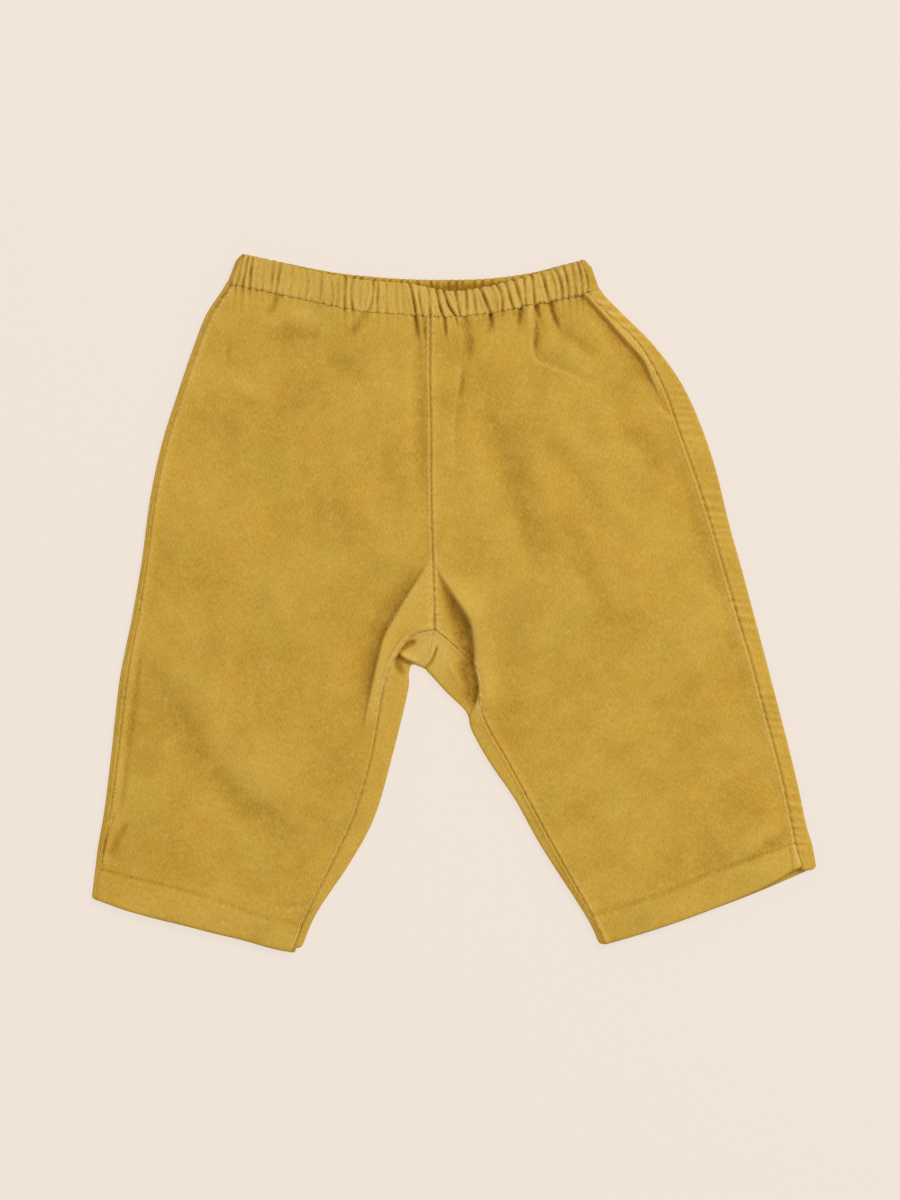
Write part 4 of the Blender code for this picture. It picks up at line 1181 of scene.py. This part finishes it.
def drawnIn(column, share, insets):
    # an edge of the casing, its x moved in evenly from both ends and its y read again from the edge there
    edge = casingCurve(column, casingShares)
    x = np.interp(share, casingShares, edge[:, 0])
    part = (x - edge[0, 0]) / (edge[-1, 0] - edge[0, 0])
    x = x + insets[0] * (1 - part) - insets[1] * part
    return x, np.interp(x, edge[:, 0], edge[:, 1])


def bandLoop(face, roll):
    # the outline of the band's section, as (down, side): up the outer face from down 1, over the rolled top,
    # down the inner face and round the bottom; side is 1 outside and -1 inside
    rolled, square = 0.06, 0.015
    straight = np.linspace(1 - square, rolled, face)
    turn = np.linspace(0, np.pi, roll + 2)[1:-1]
    down = [straight, rolled - rolled * np.sin(turn), straight[::-1], 1 - square + square * np.sin(turn)]
    side = [np.ones(face), np.cos(turn), -np.ones(face), -np.cos(turn)]
    return np.concatenate(down), np.concatenate(side)


def casingLift(share, down):
    # how far the casing's front stands off its back: sine squared along it, and less at the bottom
    return casing["lift"] * np.sin(np.pi * share) ** 2 * (1 - 0.4 * down)


def nearTop(down, reach=0.3):
    # 1 at the casing's top edge and 0 from the reach down
    return smoothStep(reach - down, 0.0, reach)


def fromCasingEnd(share):
    # distance along the casing from its nearer end
    return np.minimum(share, 1 - share) * casing["length"]


def makeCasingFront():
    # outer face: the wall's height over the back, the gathers and the grooves; inner face: plain
    down, side = bandLoop(*casingMesh["frontSection"])
    down, share = np.broadcast_arrays(down[:, None], np.linspace(0, 1, casingMesh["front"] + 1)[None, :])
    insets = [inset - casing["overlap"] for inset in casing["seamInset"]]
    x, y = casingPlan(0, share, down, insets)
    fromEnd = fromCasingEnd(share)
    base = 2 * casing["radius"] - casing["wall"] + casingLift(share, down)
    base = base - 0.3 * (1 - smoothStep(fromEnd, 0.0, 1.6))
    gathers = gatherRise(allGathers, x, down)
    outer = base + casing["wall"] + casing["rise"] + gathers + atWaistSeam(x, (1 - down) * casing["depth"])
    part = (side[:, None] + 1) / 2
    z = base * (1 - part) + np.maximum(outer, base + 0.8) * part
    y = y + 0.7 * (gathers - 1.1) * nearTop(down)
    y = y - 1.2 * bell(fromEnd, 1.3) * nearTop(down, 0.15)
    # painted shade in the gathers' cusps and painted highlight on their ridges, and a lift of the whole
    # front's tone
    paintedShading = shading["gathers"] * gathers + shading["casing"]
    return bandPiece("waist_casing_front_cloth", np.stack([x, y, z], -1), paintedShading, flip=True)


def makeCasingBack():
    # strips on top at both ends, half circles round the ends, and the gathered band on the floor
    down, side = bandLoop(*casingMesh["backSection"])
    radius, wall, topDrop = casing["radius"], casing["wall"], casing["topDrop"]
    down, outside = down[:, None], (side[:, None] + 1) / 2
    inside = 1 - outside
    stripShare = np.linspace(1, 0, casingMesh["strip"] + 1)[None, :]
    angle = (1 - 2 * np.linspace(0, 1, casingMesh["edge"] + 1)[None, 1:]) * np.pi / 2
    ends = []
    for leftEnd, out in enumerate((-1, 1)):
        edgeX, edgeY = casingPlan(1, np.full(down.shape, float(leftEnd)), down, (0.0, 0.0))
        seamX = edgeX - out * casing["seamInset"][leftEnd]
        startX = edgeX - out * radius
        x = startX + (seamX - startX) * stripShare
        rise = casing["rise"] * smoothStep(stripShare * 1.5)
        rise = rise + gatherRise(allGathers, x, np.broadcast_to(down, x.shape)) * smoothStep(stripShare)
        z = (2 * radius - wall) * inside + (2 * radius + rise) * outside
        strip = np.stack([x, edgeY - topDrop * nearTop(down) + 0 * x, z], -1)
        reach = radius - wall * inside
        lowered = topDrop + casing["cornerDrop"][leftEnd] * np.cos(angle) ** 2
        arcX = startX + out * reach * np.cos(angle)
        arc = np.stack([arcX, edgeY - nearTop(down) * lowered, radius + reach * np.sin(angle)], -1)
        ends.append(np.concatenate([strip, arc], 1))
    downs, shares = np.broadcast_arrays(down, np.linspace(0, 1, casingMesh["back"] + 1)[None, 1:-1])
    x, y = casingPlan(1, shares, downs, (radius, radius))
    fromEnd = fromCasingEnd(shares)
    gathers = gatherRise(backGathers, x, downs) * smoothStep(fromEnd, 0.0, 8.0)
    outerZ = np.maximum(-gathers * 0.8, 0.0)
    innerZ = wall + 0.8 * np.clip(gathers + 0.5, 0.0, 1.6) * smoothStep(fromEnd, 0.0, 8.0)
    y = y + (0.2 * (gathers - 1.0) - topDrop * bell(fromEnd, 1.5)) * nearTop(downs)
    under = np.stack([x, y, innerZ * inside + outerZ * outside], -1)
    points = np.concatenate([ends[0], under, ends[1][:, ::-1]], 1)
    # painted shade on the inside of the back, under the front's top edge, and painted shade and highlight of
    # its gathers
    hidden = inside * smoothStep(down, 0.02, 0.32) * smoothStep(fromEnd, 2.0, 40.0)
    shade = shading["gathers"] * (gathers - 0.7) * inside - shading["paintedWaistShade"] * hidden**1.5
    paintedShading = np.zeros(points.shape[:2])
    paintedShading[:, ends[0].shape[1]:-ends[1].shape[1]] = shade
    return bandPiece("waist_casing_back_cloth", points, paintedShading, flip=False)


def bandPiece(name, points, paintedShading, flip):
    # a closed band: its section is a loop, so the rows join up, and one face closes each end
    rows, columns = paintedShading.shape
    faces = gridFaces(rows, columns, closed=True)
    ends = np.stack([np.arange(rows)[::-1] * columns, np.arange(rows) * columns + columns - 1])
    if flip:
        faces, ends = faces[:, ::-1], ends[:, ::-1]
    run = distanceAlong(points.transpose(1, 0, 2)).T
    loop = distanceAlong(points)
    middle = run[:, columns // 2:columns // 2 + 1]
    cloth = np.stack([run - middle, loop], -1)
    return makePiece(name, points, [faces, ends], cloth, paintedShading, needlecord)


casingFront = makeCasingFront()
casingBack = makeCasingBack()
print("casing made")


# Stitching, in millimetres.
stitch = {
    "length": 2.1,
    "gap": 0.45,
    "width": 0.4,
    "height": 0.22,
    "sink": 0.14,  # how deep both ends lie in the cloth
    "besideSeam": 1.5,
    "besideCentre": 1.3,
    "round": 1.2,  # the way round a thread
}


def stitchRow(line):
    # the first, middle and last point of each stitch along a line of points on the cloth
    run = distanceAlong(line)
    count = int(run[-1] / (stitch["length"] + stitch["gap"]))
    middles = (np.arange(count) + 0.5) * run[-1] / count
    half = stitch["length"] / 2
    places = (middles - half, middles, middles + half)
    return [np.stack([np.interp(place, run, line[:, axis]) for axis in range(3)], -1) for place in places]


def makeStitches(name, rows):
    # every stitch is a spindle: rings round a bent line from end to middle to end, thickest in the middle
    first, middle, last = (np.concatenate(parts) for parts in zip(*rows))
    rings, sides = 5, 6
    t = np.linspace(0, 1, rings)
    bend = 4 * t * (1 - t)
    spine = first[:, None] * (1 - t)[:, None] + last[:, None] * t[:, None]
    straight = (first + last) / 2
    spine = spine + (middle - straight)[:, None] * bend[:, None]
    up = np.zeros_like(spine)
    up[..., 2] = 1.0
    spine = spine + up * (stitch["height"] * bend[:, None] - stitch["sink"])
    along = last - first
    along = along / np.linalg.norm(along, axis=-1, keepdims=True)
    across = np.cross(along, up[:, 0])
    across = across / np.linalg.norm(across, axis=-1, keepdims=True)
    thick = np.sqrt(np.maximum(1 - (2 * t - 1) ** 2 * 0.97, 0.0))
    angle = np.arange(sides) * 2 * np.pi / sides
    wide = stitch["width"] / 2 * thick[:, None] * np.cos(angle)
    high = stitch["height"] / 2 * thick[:, None] * np.sin(angle)
    points = (spine[:, :, None, :] + across[:, None, None, :] * wide[None, :, :, None]
              + up[:, :, None, :] * high[None, :, :, None])
    ring = np.arange(rings - 1)[:, None] * sides
    side = np.arange(sides)
    after = (side + 1) % sides
    corners = [ring + sides + side, ring + sides + after, ring + after, ring + side]
    caps = np.stack([side, side[::-1] + (rings - 1) * sides])
    offset = (np.arange(len(first)) * rings * sides)[:, None, None]
    faces = (offset + np.stack(corners, -1).reshape(-1, 4)).reshape(-1, 4)
    capFaces = (offset + caps).reshape(-1, sides)
    run = np.broadcast_to((t * stitch["length"])[None, :, None], points.shape[:3])
    around = np.broadcast_to((angle / (2 * np.pi) * stitch["round"])[None, None, :], points.shape[:3])
    cloth = np.stack([run, around], -1)
    return makePiece(name, points, [faces, capFaces], cloth, np.zeros(run.shape), thread)


def frontLine(leg, where, share):
    # a line of points on a front panel
    return frontSurface(leg, where, share)[0]


def frontLineAt(leg, where, distance, fromOuter=False):
    # a line on a front panel at a distance from one of its seams
    seams = legCurve(leg, "outerSeam", where) - legCurve(leg, "innerSeam", where)
    share = distance / np.linalg.norm(seams, axis=-1)
    return frontLine(leg, where, 1 - share if fromOuter else share)


sideRuns = ((rightLeg, 0.05, hemRow), (leftLeg, 1.6, hemRow))  # a leg, and its first and last section
sideStitches = [
    stitchRow(frontLineAt(leg, np.linspace(start, end, 900), stitch["besideSeam"], fromOuter=True))
    for leg, start, end in sideRuns
]
belowCrotch = crotchRow + 0.15
insideRuns = ((rightLeg, belowCrotch, hemRow), (leftLeg, belowCrotch, 8.8), (leftLeg, 9.95, hemRow))
insideStitches = [
    stitchRow(frontLineAt(leg, np.linspace(start, end, 500), stitch["besideSeam"]))
    for leg, start, end in insideRuns
]
centreSteps = np.linspace(0.1, crotchRow - 0.1, 500)
centreStitches = [stitchRow(frontLineAt(rightLeg, centreSteps, stitch["besideCentre"]))]
hemShare = np.linspace(0.01, 0.99, 300)
hemStitches = [
    stitchRow(frontLine(leg, hemLine(leg, hemShare), hemShare) + np.array([0, 0, stitch["sink"]]))
    for leg in (rightLeg, leftLeg)
]


def waistLine(share):
    # the casing's stitching, in the groove between it and the legs
    x, y = casingPlan(0, share, np.ones_like(share), casing["seamInset"])
    z = 2 * casing["radius"] + casingLift(share, np.ones_like(share)) + 0.1
    z = z + 0.85 * gatherRise(allGathers, x, np.ones_like(share), 0.4)
    return np.stack([x, y - 0.1, z - 0.25], -1)


waistStitches = [stitchRow(waistLine(np.linspace(0.005, 0.995, 900)))]
seamStitching = makeStitches("seam_stitching", sideStitches + insideStitches + centreStitches)
hemStitching = makeStitches("hem_stitching", hemStitches)
waistStitching = makeStitches("waist_stitching", waistStitches)
print("stitches made")


# What each cloth piece stands for, its flat size in metres, its area in square metres and what is sewn on it.

clothPieces = [
    (rightFront, "right_leg_front", (0.165, 0.345), 0.048, [seamStitching]),
    (leftFront, "left_leg_front", (0.165, 0.345), 0.048, [hemStitching]),
    (rightBack, "right_leg_back", (0.200, 0.350), 0.055, []),
    (leftBack, "left_leg_back", (0.205, 0.350), 0.057, []),
    (casingFront, "waist_casing_front", (0.235, 0.0205), None, [waistStitching]),
    (casingBack, "waist_casing_back", (0.245, 0.0205), None, []),
]
for piece, node, flat, area, sewnOn in clothPieces:
    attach(piece, "root")
    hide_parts(node)
for piece in (seamStitching, hemStitching, waistStitching):
    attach(piece, "root")


# Floor, light and camera, in metres.

studio = {
    "paper": (0.879, 0.783, 0.694),
    "paperGlow": 0.86,  # the share of the paper's brightness that comes from below it, as on a light table
    "worldStrength": 0.685,
    "keyEnergy": 42.0,
    "keyPlace": (1.5, 1.3, 2.3),
    "keySize": 1.2,
    "viewCentre": (-0.00216, 0.00135),
    "viewHeight": 0.648,  # of the floor that the picture shows
    "lens": 100.0,
    "sensor": 36.0,
    "floorHalf": 3.0,
    "floorDrop": 0.0002,  # how far the paper lies under the trousers
}


def makeFloor():
    # a sheet of pale paper that glows a little
    material, _, shader = newMaterial("palePaper")
    paper, glow = studio["paper"], studio["paperGlow"]
    setInputs(shader, {
        "Base Color": (*[value * (1 - glow) for value in paper], 1.0),
        "Roughness": 1.0,
        "Specular IOR Level": 0.0,
        "Emission Color": (*paper, 1.0),
        "Emission Strength": glow,
    })
    half, height = studio["floorHalf"], -studio["floorDrop"]
    corners = [(-half, -half, height), (half, -half, height), (half, half, height), (-half, half, height)]
    mesh = bpy.data.meshes.new("floor")
    mesh.from_pydata(corners, [], [(0, 1, 2, 3)])
    mesh.materials.append(material)
    addObject("floor", mesh)


def makeLights():
    # even white light from all round, and one large lamp beyond the waist on the left leg's side
    world = bpy.data.worlds.new("soft room")
    world.use_nodes = True
    white = (1.0, 1.0, 1.0, 1.0)
    setInputs(world.node_tree.nodes["Background"], {"Color": white, "Strength": studio["worldStrength"]})
    bpy.context.scene.world = world
    key = bpy.data.lights.new("key", "AREA")
    key.size = studio["keySize"]
    key.energy = studio["keyEnergy"]
    lamp = addObject("key", key)
    lamp.location = studio["keyPlace"]
    lamp.rotation_mode = "QUATERNION"
    lamp.rotation_quaternion = lamp.location.to_track_quat("Z", "Y")


def makeCamera():
    # straight above, with the top of the picture towards the waist
    camera = bpy.data.cameras.new("camera")
    camera.sensor_width = studio["sensor"]
    camera.lens = studio["lens"]
    view = addObject("camera", camera)
    height = studio["viewHeight"] * studio["lens"] / studio["sensor"]
    view.location = (*studio["viewCentre"], height)
    bpy.context.scene.camera = view
    bpy.context.scene.view_settings.view_transform = "Standard"


makeFloor()
makeLights()
makeCamera()
bpy.context.view_layer.update()
print("scene ready")
